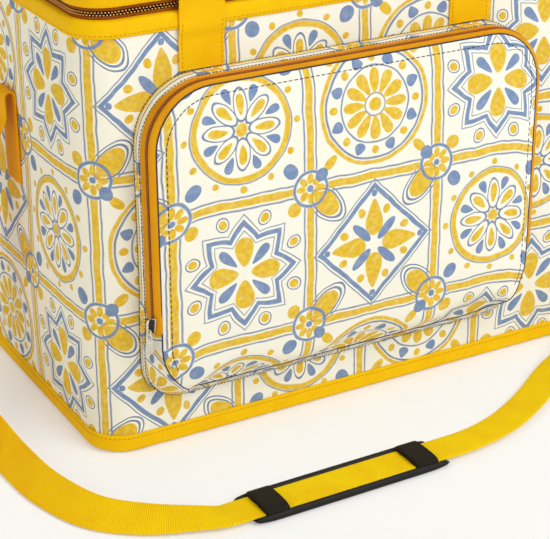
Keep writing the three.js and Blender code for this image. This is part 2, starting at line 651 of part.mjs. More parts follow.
function strapAnchor(side) {
  const fold = arc(ANCHOR_LAYER + ANCHOR_FOLD_RADIUS, FOLD_CENTRE, ANCHOR_FOLD_RADIUS, Math.PI, 0);
  const route = [
    new THREE.Vector2(ANCHOR_LAYER, ANCHOR_FOOT),
    ...fold,
    new THREE.Vector2(STRAP_HANG, FOLD_CENTRE - ANCHOR_TAIL),
  ];
  const points = route.map((point) => new THREE.Vector3(side * point.x, 0, point.y));
  const acrosses = points.map(() => new THREE.Vector3(0, 1, 0));
  return webbing(points, acrosses, STRAP_WIDTH, STRAP_THICKNESS);
}

const FRONT_Y = -HALF_DEPTH;
const PAD_CENTRE = new THREE.Vector3(PAD_CENTRE_X, FRONT_Y - PAD_FROM_FRONT, 0);
const STRAP_ON_PAD = PAD_FLOOR + CLEARANCE + STRAP_THICKNESS / 2;

function padPoint(distance) {
  const x = PAD_CENTRE.x + distance * Math.cos(PAD_TURN);
  const y = PAD_CENTRE.y + distance * Math.sin(PAD_TURN);
  return [x, y, STRAP_ON_PAD];
}

function hangPoint(side, drop) {
  return [side * STRAP_HANG, 0, STRAP_END_HEIGHT - drop];
}

// Route of the strap, chosen by eye: place, and the direction of the edge that lies away from the bag.
function strapRoute() {
  const left = -HALF_WIDTH;
  const right = HALF_WIDTH;
  const padAcross = [Math.sin(PAD_TURN), -Math.cos(PAD_TURN), 0];
  return [
    [hangPoint(-1, 0), [0, 1, 0]],
    [hangPoint(-1, 4), [0, 1, 0]],
    [hangPoint(-1, 8), [0, 1, 0]],
    [[left - 21, 0, 225], [-0.05, 1, 0]],
    [[left - 36, -3, 178], [-0.15, 1, -0.05]],
    [[left - 53, -9, 122], [-0.35, 0.9, -0.2]],
    [[left - 68, -22, 72], [-0.6, 0.7, -0.45]],
    [[left - 74, -46, 36], [-0.75, 0.4, -0.6]],
    [[left - 72, -72, 18], [-0.77, 0.1, -0.64]],
    [[left - 70, -100, 12], [-0.78, -0.05, -0.62]],
    [[left - 68, -140, 10], [-0.82, -0.1, -0.55]],
    [[left - 62, FRONT_Y - 30, 9], [-0.84, -0.2, -0.5]],
    [[left - 43, FRONT_Y - 78, 8], [-0.8, -0.45, -0.42]],
    [[left - 12, FRONT_Y - 105, 7], [-0.55, -0.75, -0.36]],
    [[left + 16, FRONT_Y - 118, 6], [-0.3, -0.92, -0.25]],
    [padPoint(-105), padAcross],
    [padPoint(-98), padAcross],
    [padPoint(98), padAcross],
    [padPoint(105), padAcross],
    [[right - 198, FRONT_Y - 122, 4.2], [0.2, -0.98, 0.03]],
    [[right - 165, FRONT_Y - 112, 4], [0.36, -0.93, 0.05]],
    [[right - 125, FRONT_Y - 92, 4.8], [0.48, -0.87, 0.1]],
    [[right - 80, FRONT_Y - 63, 8], [0.5, -0.84, 0.22]],
    [[right - 36, FRONT_Y - 42, 15], [0.48, -0.8, 0.36]],
    [[right + 6, FRONT_Y - 18, 28], [0.52, -0.77, 0.38]],
    [[right + 36, FRONT_Y + 22, 54], [0.55, -0.78, 0.3]],
    [[right + 51, -84, 98], [0.45, -0.85, 0.2]],
    [[right + 48, -40, 152], [0.25, -0.95, 0.1]],
    [[right + 31, -10, 206], [0.08, -1, 0.02]],
    [hangPoint(1, 8), [0, -1, 0]],
    [hangPoint(1, 4), [0, -1, 0]],
    [hangPoint(1, 0), [0, -1, 0]],
  ];
}

function addStrap() {
  for (const [hand, side] of [['left', -1], ['right', 1]]) {
    add(coolerBag, `strap_anchor_${hand}`, strapAnchor(side), YELLOW_WEBBING);
  }
  const route = strapRoute();
  const path = new THREE.CatmullRomCurve3(route.map(([place]) => new THREE.Vector3(...place)));
  const lie = new THREE.CatmullRomCurve3(route.map(([, across]) => new THREE.Vector3(...across)));
  const steps = STRAP_STEPS_PER_SPAN * (route.length - 1);
  const strap = webbing(path.getPoints(steps), lie.getPoints(steps), STRAP_WIDTH, STRAP_THICKNESS);
  add(coolerBag, 'shoulder_strap', strap, YELLOW_WEBBING);
}

// Shoulder pad: a rimmed rubber channel that slides on the strap under two keeper loops.
function addPad() {
  const pad = new THREE.Group();
  pad.position.copy(PAD_CENTRE);
  pad.rotation.z = PAD_TURN;
  const channel = STRAP_WIDTH + 2 * PAD_SIDE_PLAY;
  const half = channel / 2 + PAD_RIM_WIDTH;
  const end = PAD_LENGTH / 2;
  const outline = new THREE.Shape([
    new THREE.Vector2(-end, -half / 2),
    new THREE.Vector2(-end + PAD_NOSE, -half),
    new THREE.Vector2(end - PAD_NOSE, -half),
    new THREE.Vector2(end, -half / 2),
    new THREE.Vector2(end, half / 2),
    new THREE.Vector2(end - PAD_NOSE, half),
    new THREE.Vector2(-end + PAD_NOSE, half),
    new THREE.Vector2(-end, half / 2),
  ]);
  const rimTop = PAD_FLOOR + PAD_RIM_HEIGHT;
  const groove = new THREE.BoxGeometry(2 * PAD_LENGTH, channel, 2 * PAD_RIM_HEIGHT).translate(0, 0, rimTop);
  add(pad, 'pad_base', cut(extrude(outline, 0, rimTop), groove), BLACK_RUBBER);
  const keeperRoom = Math.max(rimTop, STRAP_ON_PAD + STRAP_THICKNESS / 2) + CLEARANCE;
  const keeperTop = keeperRoom + KEEPER_WALL;
  const inner = 2 * (half + CLEARANCE);
  const outer = inner + 2 * KEEPER_WALL;
  for (const [hand, side] of [['left', -1], ['right', 1]]) {
    const block = new THREE.BoxGeometry(KEEPER_WIDTH, outer, keeperTop).translate(0, 0, keeperTop / 2);
    const gap = new THREE.BoxGeometry(2 * KEEPER_WIDTH, inner, 2 * keeperRoom);
    const keeper = add(pad, `pad_keeper_${hand}`, cut(block, gap), BLACK_RUBBER);
    keeper.position.x = side * (end - KEEPER_FROM_END);
  }
  coolerBag.add(pad);
}

addShell();
addInsulation();
mainZipHalf(coolerBag, 'body', BODY_TAPE_LEVEL, BODY_COIL_LEVEL);
addBackRiser();
mainZipHalf(lid, 'lid', LID_TAPE_LEVEL, LID_COIL_LEVEL);
addLid();
addPocketBody();
pocketZipHalf(pocket, 'rear', REAR_TAPE_LEVEL, REAR_COIL_LEVEL - CLEARANCE, REAR_COIL_LEVEL);
pocketZipHalf(pocketFlap, 'front', FRONT_TAPE_LEVEL, GUSSET_END, FRONT_COIL_LEVEL);
addPocketFlap();
addSliders();
addHandles();
addStrap();
addPad();

export default coolerBag;
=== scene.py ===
# %% [markdown]
# # A printed cooler bag, made soft
#
# The frame that we load is the bag as an engineer draws it: every piece at its true size, every joint
# in its true place, but with hard edges and no cloth. In this lesson we dress it. We lay webbing, wrap
# canvas, sew seams and cast the zip, always round the sizes that the frame already holds.

# %% Load the frame
import math

import bpy
import numpy as np
from mathutils import Matrix, Vector


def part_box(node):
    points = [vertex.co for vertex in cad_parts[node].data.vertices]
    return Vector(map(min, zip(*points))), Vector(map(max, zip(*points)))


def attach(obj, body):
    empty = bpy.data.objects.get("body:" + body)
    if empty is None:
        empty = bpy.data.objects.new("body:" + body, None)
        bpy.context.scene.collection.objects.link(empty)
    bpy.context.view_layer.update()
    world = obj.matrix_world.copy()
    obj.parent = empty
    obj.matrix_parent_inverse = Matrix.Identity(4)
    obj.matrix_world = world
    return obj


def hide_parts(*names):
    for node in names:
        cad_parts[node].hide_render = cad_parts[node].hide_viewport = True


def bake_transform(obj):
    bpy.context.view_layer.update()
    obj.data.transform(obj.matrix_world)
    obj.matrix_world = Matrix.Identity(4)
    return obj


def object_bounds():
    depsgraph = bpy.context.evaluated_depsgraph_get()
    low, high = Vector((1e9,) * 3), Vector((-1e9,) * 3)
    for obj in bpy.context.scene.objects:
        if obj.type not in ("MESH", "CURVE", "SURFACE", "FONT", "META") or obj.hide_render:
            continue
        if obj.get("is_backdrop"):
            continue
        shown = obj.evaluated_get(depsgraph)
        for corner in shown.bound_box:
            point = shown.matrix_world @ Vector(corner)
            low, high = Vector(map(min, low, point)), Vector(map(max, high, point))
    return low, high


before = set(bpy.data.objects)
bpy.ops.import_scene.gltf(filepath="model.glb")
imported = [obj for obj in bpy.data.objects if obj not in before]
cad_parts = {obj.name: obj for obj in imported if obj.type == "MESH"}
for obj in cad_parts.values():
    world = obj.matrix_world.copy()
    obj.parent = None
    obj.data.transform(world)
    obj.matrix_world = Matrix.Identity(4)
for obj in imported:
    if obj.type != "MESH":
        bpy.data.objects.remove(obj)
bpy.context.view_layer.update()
MM = 0.001

# %% [markdown]
# ## The camera
#
# A camera could be placed by eye. Here its place was worked out from the edges of the bag in the
# photograph, so that the picture and the model share one perspective. A long lens, about three times
# the width of the sensor, keeps the upright edges of the bag nearly parallel.

# %% Camera
PICTURE_WIDTH = 550
FOCAL_LENGTH_PIXELS = 1734.1
SENSOR_WIDTH = 36
CAMERA_PLACE = Vector((-0.7027, -1.2760, 0.7166))
CAMERA_TURN = math.radians(-29.01)
CAMERA_TIP = math.radians(90 - 24.54)
CAMERA_ROLL = math.radians(-0.35)

camera_data = bpy.data.cameras.new("camera")
camera_data.sensor_width = SENSOR_WIDTH
camera_data.lens = FOCAL_LENGTH_PIXELS / PICTURE_WIDTH * SENSOR_WIDTH
camera = bpy.data.objects.new("camera", camera_data)
bpy.context.scene.collection.objects.link(camera)
camera.matrix_world = (
    Matrix.Translation(CAMERA_PLACE)
    @ Matrix.Rotation(CAMERA_TURN, 4, "Z")
    @ Matrix.Rotation(CAMERA_TIP, 4, "X")
    @ Matrix.Rotation(CAMERA_ROLL, 4, "Z")
)
bpy.context.scene.camera = camera
print("camera: lens", round(camera_data.lens, 1), "mm")

# %% [markdown]
# ## A sheet that can be wrapped
#
# Nearly everything on this bag was cut flat and then bent: canvas, tape, webbing. So one helper does
# most of the work. It adds a flat grid, as Add > Mesh > Grid does, moves every corner of the grid to
# its place on the bag, and keeps in a UV map where that corner lay on the flat cloth, in metres. The
# print and the weave are drawn on that map later, so they bend with the cloth.

# %% Helpers for selecting, shading and finishing
def clear_selection():
    bpy.ops.object.select_all(action="DESELECT")


def pick(piece):
    """Makes a piece the active one, and the only one that is selected."""
    clear_selection()
    piece.select_set(True)
    bpy.context.view_layer.objects.active = piece


def smooth(piece, degrees):
    """Shades a piece smooth, except where two faces meet at more than the given angle."""
    pick(piece)
    bpy.ops.object.shade_smooth_by_angle(angle=math.radians(degrees))


def apply_modifier(piece, kind, **settings):
    """Adds one modifier with its settings and applies it to the mesh."""
    bpy.context.view_layer.objects.active = piece
    modifier = piece.modifiers.new(kind.title(), kind)
    for name, value in settings.items():
        setattr(modifier, name, value)
    bpy.ops.object.modifier_apply(modifier=modifier.name)


# %% Helpers for tables of corners
def corners_of(piece):
    """The corners of a mesh as a table of x, y, z."""
    table = np.empty(3 * len(piece.data.vertices))
    piece.data.vertices.foreach_get("co", table)
    return table.reshape(-1, 3)


def move_corners(piece, table):
    piece.data.vertices.foreach_set("co", np.ascontiguousarray(table, float).ravel())
    piece.data.update()


def table_of(*columns):
    """Puts columns of numbers side by side; a single number fills its whole column."""
    return np.stack(np.broadcast_arrays(*columns), axis=1)


def line_at(share, lines):
    """The number of the grid line that lies at a share, from 0 to 1, of the way over the grid."""
    return np.rint(share * lines).astype(int)


# %% Helpers for sheets
def wrap_sheet(name, columns, rows, place, cloth):
    """A grid. Its corner (u, v), each from 0 to 1, goes to place(u, v), and gets cloth(u, v) as its UV."""
    clear_selection()
    bpy.ops.mesh.primitive_grid_add(x_subdivisions=columns, y_subdivisions=rows, size=1)
    sheet = bpy.context.object
    sheet.name = sheet.data.name = name
    flat = corners_of(sheet) + 0.5
    u, v = flat[:, 0], flat[:, 1]
    move_corners(sheet, place(u, v))
    corner_of_loop = np.empty(len(sheet.data.loops), int)
    sheet.data.loops.foreach_get("vertex_index", corner_of_loop)
    layer = sheet.data.uv_layers[0]
    layer.name = "cloth"
    layer.data.foreach_set("uv", cloth(u, v)[corner_of_loop].ravel())
    return sheet


def close_sheet(sheet, fill=True):
    """Joins edges that meet, fills open ends if asked, and turns all faces outwards."""
    pick(sheet)
    bpy.ops.object.mode_set(mode="EDIT")
    bpy.ops.mesh.select_all(action="SELECT")
    bpy.ops.mesh.remove_doubles(threshold=1e-6)
    if fill:
        bpy.ops.mesh.fill_holes(sides=0)
    bpy.ops.mesh.select_all(action="SELECT")
    bpy.ops.mesh.normals_make_consistent(inside=False)
    bpy.ops.object.mode_set(mode="OBJECT")
    smooth(sheet, 40)
    return sheet

# %% [markdown]
# ## The shoulder strap
#
# The strap is the one loose thing here: thirty millimetres of webbing, sewn to both sides of the bag,
# that falls to the floor and lies there in a wide curve. A hair or curve object would give a round
# cord, so we lay a flat ribbon instead. Its route is a list of places with, for each, the direction in
# which the width of the webbing lies. A smooth curve runs through them.

# %% A smooth route
def smooth_route(points, steps):
    """Runs a curve through points, with so many steps to each span, easing by the length of the spans."""
    points = np.array(points, float)
    first, last = 2 * points[0] - points[1], 2 * points[-1] - points[-2]
    held = np.vstack([first, points, last])
    route = []
    for before, start, end, after in zip(held, held[1:], held[2:], held[3:]):
        gap_in, gap, gap_out = (
            math.sqrt(np.linalg.norm(b - a)) or 1.0
            for a, b in ((before, start), (start, end), (end, after))
        )
        leave = gap * ((start - before) / gap_in - (end - before) / (gap_in + gap) + (end - start) / gap)
        arrive = gap * ((end - start) / gap - (after - start) / (gap + gap_out) + (after - end) / gap_out)
        for step in range(steps):
            t = step / steps
            bend = -3 * start + 3 * end - 2 * leave - arrive
            twist = 2 * start - 2 * end + leave + arrive
            route.append(start + leave * t + bend * t**2 + twist * t**3)
    route.append(points[-1])
    return np.array(route)


def unit(rows):
    return rows / np.linalg.norm(rows, axis=1, keepdims=True)


def lengths_along(route):
    """How far each point of a route lies from its start."""
    return np.concatenate([[0], np.cumsum(np.linalg.norm(np.diff(route, axis=0), axis=1))])


# %% Lay webbing
WEBBING_SECTION = [
    (-0.5, -0.2), (-0.5, 0.2), (-0.47, 0.45), (-0.42, 0.5), (-0.2, 0.5), (0, 0.5), (0.2, 0.5),
    (0.42, 0.5), (0.47, 0.45), (0.5, 0.2), (0.5, -0.2), (0.47, -0.45), (0.42, -0.5), (0.2, -0.5),
    (0, -0.5), (-0.2, -0.5), (-0.42, -0.5), (-0.47, -0.45),
]


def lay_webbing(name, route, acrosses, width, thickness):
    """A ribbon of webbing along a route; its width lies in the direction that acrosses gives."""
    ahead = unit(np.gradient(route, axis=0))
    across = unit(acrosses - ahead * np.sum(ahead * acrosses, axis=1, keepdims=True))
    face = np.cross(ahead, across)
    section = np.array(WEBBING_SECTION + WEBBING_SECTION[:1])
    columns, rows = len(route) - 1, len(section) - 1
    far = lengths_along(route)

    def place(u, v):
        i, j = line_at(u, columns), line_at(v, rows)
        sideways = width * section[j, :1] * across[i]
        return route[i] + sideways + thickness * section[j, 1:] * face[i]

    def cloth(u, v):
        i, j = line_at(u, columns), line_at(v, rows)
        return table_of(far[i], width * section[j, 0])

    return close_sheet(wrap_sheet(name, columns, rows, place, cloth))


# %% Strap measures, as the frame has them
anchor_low, anchor_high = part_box("strap_anchor_right")
shell_low, shell_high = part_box("outer_shell")
HALF_WIDTH, HALF_DEPTH = shell_high.x, shell_high.y
STRAP_WIDTH = 30 * MM
STRAP_THICKNESS = 1.8 * MM
SEAM = 0.3 * MM
HANG_INSET = 6 * MM
STRAP_HANG = anchor_high.x - STRAP_THICKNESS / 2 - HANG_INSET
STRAP_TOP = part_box("shoulder_strap")[1].z
FRONT = -HALF_DEPTH
PAD_CENTRE = Vector((-92 * MM, FRONT - 126.5 * MM, 0))
PAD_TURN = math.radians(0.5)
PAD_FLOOR = 3.4 * MM
STRAP_ON_PAD = PAD_FLOOR + SEAM + STRAP_THICKNESS / 2


print("strap: hangs", round(STRAP_HANG / MM, 1), "mm from the middle")
print("strap: leaves its ends", round(STRAP_TOP / MM, 1), "mm up")


# %% Strap route
def hang_point(side, drop):
    """A place where the strap hangs straight, so many millimetres below its end."""
    return (side * STRAP_HANG / MM, 0, STRAP_TOP / MM - drop)


def pad_point(distance):
    """A place on the pad's middle line, so many millimetres from its centre."""
    x = PAD_CENTRE.x / MM + distance * math.cos(PAD_TURN)
    y = PAD_CENTRE.y / MM + distance * math.sin(PAD_TURN)
    return (x, y, STRAP_ON_PAD / MM)


LEFT, RIGHT, FACE = -HALF_WIDTH / MM, HALF_WIDTH / MM, FRONT / MM
PAD_ACROSS = (math.sin(PAD_TURN), -math.cos(PAD_TURN), 0)
STRAP_ROUTE = [
    (hang_point(-1, 0), (0, 1, 0)),
    (hang_point(-1, 4), (0, 1, 0)),
    (hang_point(-1, 8), (0, 1, 0)),
    ((LEFT - 21, 0, 225), (-0.05, 1, 0)),
    ((LEFT - 36, -3, 178), (-0.15, 1, -0.05)),
    ((LEFT - 53, -9, 122), (-0.35, 0.9, -0.2)),
    ((LEFT - 68, -22, 72), (-0.6, 0.7, -0.45)),
    ((LEFT - 74, -46, 36), (-0.75, 0.4, -0.6)),
    ((LEFT - 72, -72, 18), (-0.77, 0.1, -0.64)),
    ((LEFT - 70, -100, 12), (-0.78, -0.05, -0.62)),
    ((LEFT - 68, -140, 10), (-0.82, -0.1, -0.55)),
    ((LEFT - 62, FACE - 30, 9), (-0.84, -0.2, -0.5)),
    ((LEFT - 43, FACE - 78, 8), (-0.8, -0.45, -0.42)),
    ((LEFT - 12, FACE - 105, 7), (-0.55, -0.75, -0.3)),
    ((LEFT + 16, FACE - 118, 6), (-0.3, -0.92, -0.14)),
    (pad_point(-105), PAD_ACROSS),
    (pad_point(-98), PAD_ACROSS),
    (pad_point(98), PAD_ACROSS),
    (pad_point(105), PAD_ACROSS),
    ((RIGHT - 198, FACE - 122, 4.2), (0.2, -0.98, 0.03)),
    ((RIGHT - 165, FACE - 112, 4), (0.36, -0.93, 0.05)),
    ((RIGHT - 125, FACE - 92, 4.8), (0.48, -0.87, 0.1)),
    ((RIGHT - 80, FACE - 63, 8), (0.5, -0.84, 0.22)),
    ((RIGHT - 36, FACE - 42, 15), (0.48, -0.8, 0.36)),
    ((RIGHT + 6, FACE - 18, 28), (0.52, -0.77, 0.38)),
    ((RIGHT + 36, FACE + 22, 54), (0.55, -0.78, 0.3)),
    ((RIGHT + 51, -84, 98), (0.45, -0.85, 0.2)),
    ((RIGHT + 48, -40, 152), (0.25, -0.95, 0.1)),
    ((RIGHT + 31, -10, 206), (0.08, -1, 0.02)),
    (hang_point(1, 8), (0, -1, 0)),
    (hang_point(1, 4), (0, -1, 0)),
    (hang_point(1, 0), (0, -1, 0)),
]
print("strap: its route has", len(STRAP_ROUTE), "places")

# %% Lay the strap
STRAP_STEPS = 9
strap_path = smooth_route([place for place, _ in STRAP_ROUTE], STRAP_STEPS) * MM
strap_lie = smooth_route([lie for _, lie in STRAP_ROUTE], STRAP_STEPS)
strap = lay_webbing("shoulder_webbing", strap_path, strap_lie, STRAP_WIDTH, STRAP_THICKNESS)
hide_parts("shoulder_strap")
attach(strap, "bag")

# %% [markdown]
# ## Finishes that are worked out, not painted
#
# Every colour here comes from nodes, with no picture file. Nodes are usually wired by hand in the
# shader editor. A woven or printed cloth needs hundreds of small sums, though, so we let Python do the
# wiring: a `Value` is one socket of a node, and adding or multiplying two of them adds a Math node.

# %% Sums on shader sockets
class Value:
    """A number that a shader works out. Arithmetic on it adds Math nodes to its material."""

    def __init__(self, socket):
        self.socket = socket

    def __add__(self, other):
        return calculate("ADD", self, other)

    def __sub__(self, other):
        return calculate("SUBTRACT", self, other)

    def __mul__(self, other):
        return calculate("MULTIPLY", self, other)

    def __truediv__(self, other):
        return calculate("DIVIDE", self, other)


def add_node(tree, kind, **settings):
    node = tree.nodes.new(kind)
    for name, value in settings.items():
        setattr(node, name, value)
    return node


def feed(socket, term):
    """Gives a socket a number, a colour or what another socket works out."""
    if isinstance(term, Value):
        socket.id_data.links.new(term.socket, socket)
    else:
        socket.default_value = term


def calculate(operation, *terms):
    tree = next(term.socket.id_data for term in terms if isinstance(term, Value))
    node = add_node(tree, "ShaderNodeMath", operation=operation)
    for socket, term in zip(node.inputs, terms):
        feed(socket, term)
    return Value(node.outputs[0])


def largest(values):
    """The largest of several values at each place of the surface."""
    values = list(values)
    while len(values) > 1:
        pairs = zip(values[::2], values[1::2])
        odd = values[-1:] if len(values) % 2 else []
        values = [calculate("MAXIMUM", a, b) for a, b in pairs] + odd
    return values[0]


def ramp(value, start, end, low=0.0, high=1.0):
    """Eases from low to high while the value goes from start to end."""
    node = add_node(value.socket.id_data, "ShaderNodeMapRange", interpolation_type="SMOOTHSTEP")
    names = ("Value", "From Min", "From Max", "To Min", "To Max")
    for name, term in zip(names, (value, start, end, low, high)):
        feed(node.inputs[name], term)
    return Value(node.outputs["Result"])


# %% Colours and new finishes
def shown(red, green, blue):
    """A colour as a screen shows it, 0 to 255, turned into the light values that a shader wants."""
    share = np.array([red, green, blue]) / 255
    light = np.where(share <= 0.04045, share / 12.92, ((share + 0.055) / 1.055) ** 2.4)
    return (*light.tolist(), 1.0)


def new_finish(name, roughness, metallic=0.0, gloss=0.5):
    """A material with one shader; the numbers that are the same all over go straight on its sockets."""
    finish = bpy.data.materials.new(name)
    finish.use_nodes = True
    shader = finish.node_tree.nodes["Principled BSDF"]
    shader.inputs["Roughness"].default_value = roughness
    shader.inputs["Metallic"].default_value = metallic
    shader.inputs["Specular IOR Level"].default_value = gloss
    return finish, shader


print("a middle grey, 128 on the screen, is", round(shown(128, 128, 128)[0], 3), "of full light")


# %% Maps, grain and bumps
def cloth_map(tree):
    """Where a point lay on the flat cloth: the whole vector, and its two lengths in metres."""
    place = add_node(tree, "ShaderNodeUVMap", uv_map="cloth")
    split = add_node(tree, "ShaderNodeSeparateXYZ")
    tree.links.new(place.outputs["UV"], split.inputs["Vector"])
    return Value(place.outputs["UV"]), Value(split.outputs["X"]), Value(split.outputs["Y"])


def solid_map(tree):
    """Where a point lies in the frame, in metres."""
    place = add_node(tree, "ShaderNodeTexCoord")
    split = add_node(tree, "ShaderNodeSeparateXYZ")
    tree.links.new(place.outputs["Object"], split.inputs["Vector"])
    return Value(place.outputs["Object"]), *(Value(split.outputs[axis]) for axis in "XYZ")


def grain(place, patches_per_metre, detail=3.0):
    """Cloudy noise from 0 to 1, with so many patches to a metre."""
    node = add_node(place.socket.id_data, "ShaderNodeTexNoise")
    feed(node.inputs["Vector"], place)
    feed(node.inputs["Scale"], patches_per_metre)
    feed(node.inputs["Detail"], detail)
    return Value(node.outputs[0])


def mix_colour(share, first, second):
    """Goes from the first colour to the second as the share goes from 0 to 1."""
    node = add_node(share.socket.id_data, "ShaderNodeMix", data_type="RGBA")
    feed(node.inputs[0], share)
    feed(node.inputs[6], first)
    feed(node.inputs[7], second)
    return Value(node.outputs[2])


def emboss(shader, height, depth):
    """Raises the surface by a height from 0 to 1, times a depth in metres."""
    node = add_node(shader.id_data, "ShaderNodeBump")
    feed(node.inputs["Distance"], depth)
    feed(node.inputs["Height"], height)
    feed(shader.inputs["Normal"], Value(node.outputs[0]))


# %% [markdown]
# ## Webbing and tape
#
# Webbing is a thick, ribbed weave: each rib is a weft yarn that crosses the strip, and the warp yarns
# pass over and under the ribs. It could be modelled yarn by yarn, but only a bump and a change of shade
# show, and the grooves between the ribs are painted darker, which is painted shade. On the flat cloth a
# rib is a sine wave along the strip. On tape and handles it is shifted by half a rib from one warp yarn
# to the next, which breaks it into short dashes; on the shoulder strap the ribs run straight across. The
# strap also starts in a deeper gold, which is painted shade and fades along its first part.

# %% Webbing finish
TAU = 2 * math.pi
# The deeper gold at the start of the strap is painted shade, and fades out over this span.
PAINTED_SHADE_SPAN = 0.1, 0.62  # in metres from the start of the strip
WOVEN_ROUGHNESS = 0.72


def woven_finish(name, bright, deep, rib, yarn, depth, stagger=0.5, start=None):
    """Ribs of the given pitch along the strip, and warp yarns across it, each a stagger behind the last.

    A strip may start in another deep and bright colour, painted shade, which fade out along its first
    part.
    """
    finish, shader = new_finish(name, WOVEN_ROUGHNESS, gloss=0.12)
    place, along, across = cloth_map(finish.node_tree)
    warp = across / yarn
    shift = calculate("FLOOR", warp) * stagger
    ribs = calculate("SINE", (along / rib + shift) * TAU) * 0.5 + 0.5
    grooves = calculate("ABSOLUTE", calculate("SINE", warp * math.pi))
    height = ribs * 0.65 + calculate("POWER", grooves, 0.5) * 0.35
    worn = grain(place, 35, 4.0)
    # The colour follows the height of the ribs and a random grain: grooves are painted darker, as shade.
    light = height * 0.5 + worn * 0.65 + grain(place, 900, 2.0) * 0.2
    shade = ramp(light, 0.3, 0.95)
    colour = mix_colour(shade, deep, bright)
    # A deeper colour at the start of a strip is painted shade.
    if start:
        colour = mix_colour(ramp(along, *PAINTED_SHADE_SPAN), mix_colour(shade, *start), colour)
    feed(shader.inputs["Base Color"], colour)
    emboss(shader, height, depth)
    return finish


# The strap's deeper gold start is painted shade near its left end.
webbing_finish = woven_finish(
    "webbing", shown(255, 221, 4), shown(243, 187, 0), rib=1.7 * MM, yarn=1.3 * MM, depth=0.4 * MM,
    stagger=0.0, start=(shown(236, 150, 0), shown(250, 188, 0)),
)
tape_finish = woven_finish(
    "binding_tape", shown(252, 205, 2), shown(241, 180, 0), rib=1.1 * MM, yarn=0.8 * MM, depth=0.15 * MM,
)
handle_finish = woven_finish(
    "handle_webbing", shown(251, 198, 0), shown(241, 174, 0), rib=1.2 * MM, yarn=1.0 * MM, depth=0.2 * MM,
)


def dress(piece, finish, body=None):
    """Gives a piece its finish in its one material slot, and lets it ride on a body."""
    piece.data.materials.clear()
    piece.data.materials.append(finish)
    if body:
        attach(piece, body)
    return piece


dress(strap, webbing_finish)
woven = (webbing_finish, tape_finish, handle_finish)
print("finishes:", [finish.name for finish in woven])

# %% [markdown]
# ## The printed canvas
#
# The canvas carries a tile print: flowers, stars and leaves in gold and dusty blue on cream, each in
# its own square. Such a print could be painted in a picture. We draw it from distances and angles
# instead. A petal is an ellipse at some distance from the middle of its tile; folding the angle round
# the middle repeats that petal eight or twelve times; and four kinds of tile take turns.

# %% Marks that a print is made of
TILE = 118 * MM
print("print: tiles of", round(TILE / MM), "mm")


def inside(distance, edge=1.0, spread=0.035):
    """1 within the edge, 0 outside it, with a soft rim."""
    return ramp(distance, edge - spread, edge + spread, 1.0, 0.0)


def stroke(distance, middle, half):
    """A line where the distance is near the middle value."""
    return inside(calculate("ABSOLUTE", distance - middle), half, 0.005)


def fold_turn(turn, count, shift=0.0):
    """Folds a full turn into equal sectors, each measured from its own middle."""
    return (calculate("FRACT", turn * (count / TAU) + (shift + 0.5)) - 0.5) * (TAU / count)


class Sector:
    """A place seen from the middle of one sector: how far along its axis, and how far beside it."""

    def __init__(self, radius, angle):
        self.along = radius * calculate("COSINE", angle)
        self.beside = calculate("ABSOLUTE", radius * calculate("SINE", angle))

    def petal(self, middle, long, wide, lean=0.0):
        """1 on the rim of a petal, less inside it; lean makes its outer end the broader one."""
        along = (self.along - middle) / long
        breadth = (along * lean + 1.0) * wide if lean else wide
        beside = self.beside / breadth
        return calculate("SQRT", along * along + beside * beside)


# %% Four kinds of tile
# Each gives its marks in gold, in blue and in fine outline, with lengths in shares of a tile. It gets the
# distance from the middle of the tile, the sectors of the folds, and the distance across the slant.
def sunflower(radius, four, four_off, eight, eight_off, twelve, slant):
    gold = [inside(radius, 0.045, 0.005), inside(twelve.petal(0.16, 0.085, 0.036, 0.4)),
            inside(four_off.petal(0.49, 0.06, 0.034)), inside(eight.petal(0.318, 0.03, 0.028)),
            stroke(radius, 0.405, 0.014)]
    blue = [inside(eight_off.petal(0.318, 0.042, 0.038, -0.4)), inside(four_off.petal(0.585, 0.05, 0.045))]
    fine = [stroke(radius, 0.263, 0.006), stroke(radius, 0.375, 0.008), stroke(radius, 0.075, 0.005)]
    return gold, blue, fine


def star(radius, four, four_off, eight, eight_off, twelve, slant):
    points = radius * (calculate("ABSOLUTE", calculate("ARCTAN2", eight.beside, eight.along)) * 1.07 + 1.0)
    gold = [inside(four.petal(0.155, 0.105, 0.066, 0.35)), inside(eight_off.petal(0.40, 0.034, 0.03)),
            inside(four_off.petal(0.53, 0.05, 0.05))]
    blue = [stroke(points, 0.368, 0.025), inside(four_off.petal(0.168, 0.085, 0.032, 0.5))]
    fine = [stroke(points, 0.425, 0.006), stroke(points, 0.31, 0.005),
            stroke(eight_off.petal(0.40, 0.05, 0.044), 1.0, 0.1)]
    return gold, blue, fine


def leaf_cross(radius, four, four_off, eight, eight_off, twelve, slant):
    gold = [inside(four.petal(0.20, 0.135, 0.062, -0.5)), inside(four_off.petal(0.53, 0.115, 0.075)),
            inside(eight_off.petal(0.262, 0.034, 0.028))]
    blue = [stroke(slant, 0.425, 0.022), inside(four_off.petal(0.14, 0.095, 0.034)),
            inside(four.petal(0.372, 0.022, 0.022))]
    fine = [stroke(slant, 0.47, 0.006), stroke(four_off.petal(0.53, 0.105, 0.06), 1.35, 0.09),
            stroke(four_off.petal(0.53, 0.105, 0.06), 1.7, 0.07)]
    return gold, blue, fine


def daisy(radius, four, four_off, eight, eight_off, twelve, slant):
    gold = [inside(radius, 0.042, 0.005), stroke(radius, 0.338, 0.02),
            inside(eight.petal(0.17, 0.07, 0.027, 0.4)), inside(twelve.petal(0.405, 0.024, 0.024))]
    blue = [inside(eight_off.petal(0.245, 0.055, 0.028, 0.5)), inside(four_off.petal(0.50, 0.06, 0.05))]
    fine = [stroke(eight.petal(0.165, 0.11, 0.05), 1.0, 0.08), stroke(radius, 0.365, 0.005)]
    return gold, blue, fine


# %% Print finish
CREAM, GOLD, BLUE, OUTLINE = (
    shown(254, 253, 243), shown(228, 180, 18), shown(116, 142, 186), shown(118, 136, 170),
)
HAND_SHAKE = 0.024
CANVAS_THREAD = 0.9 * MM


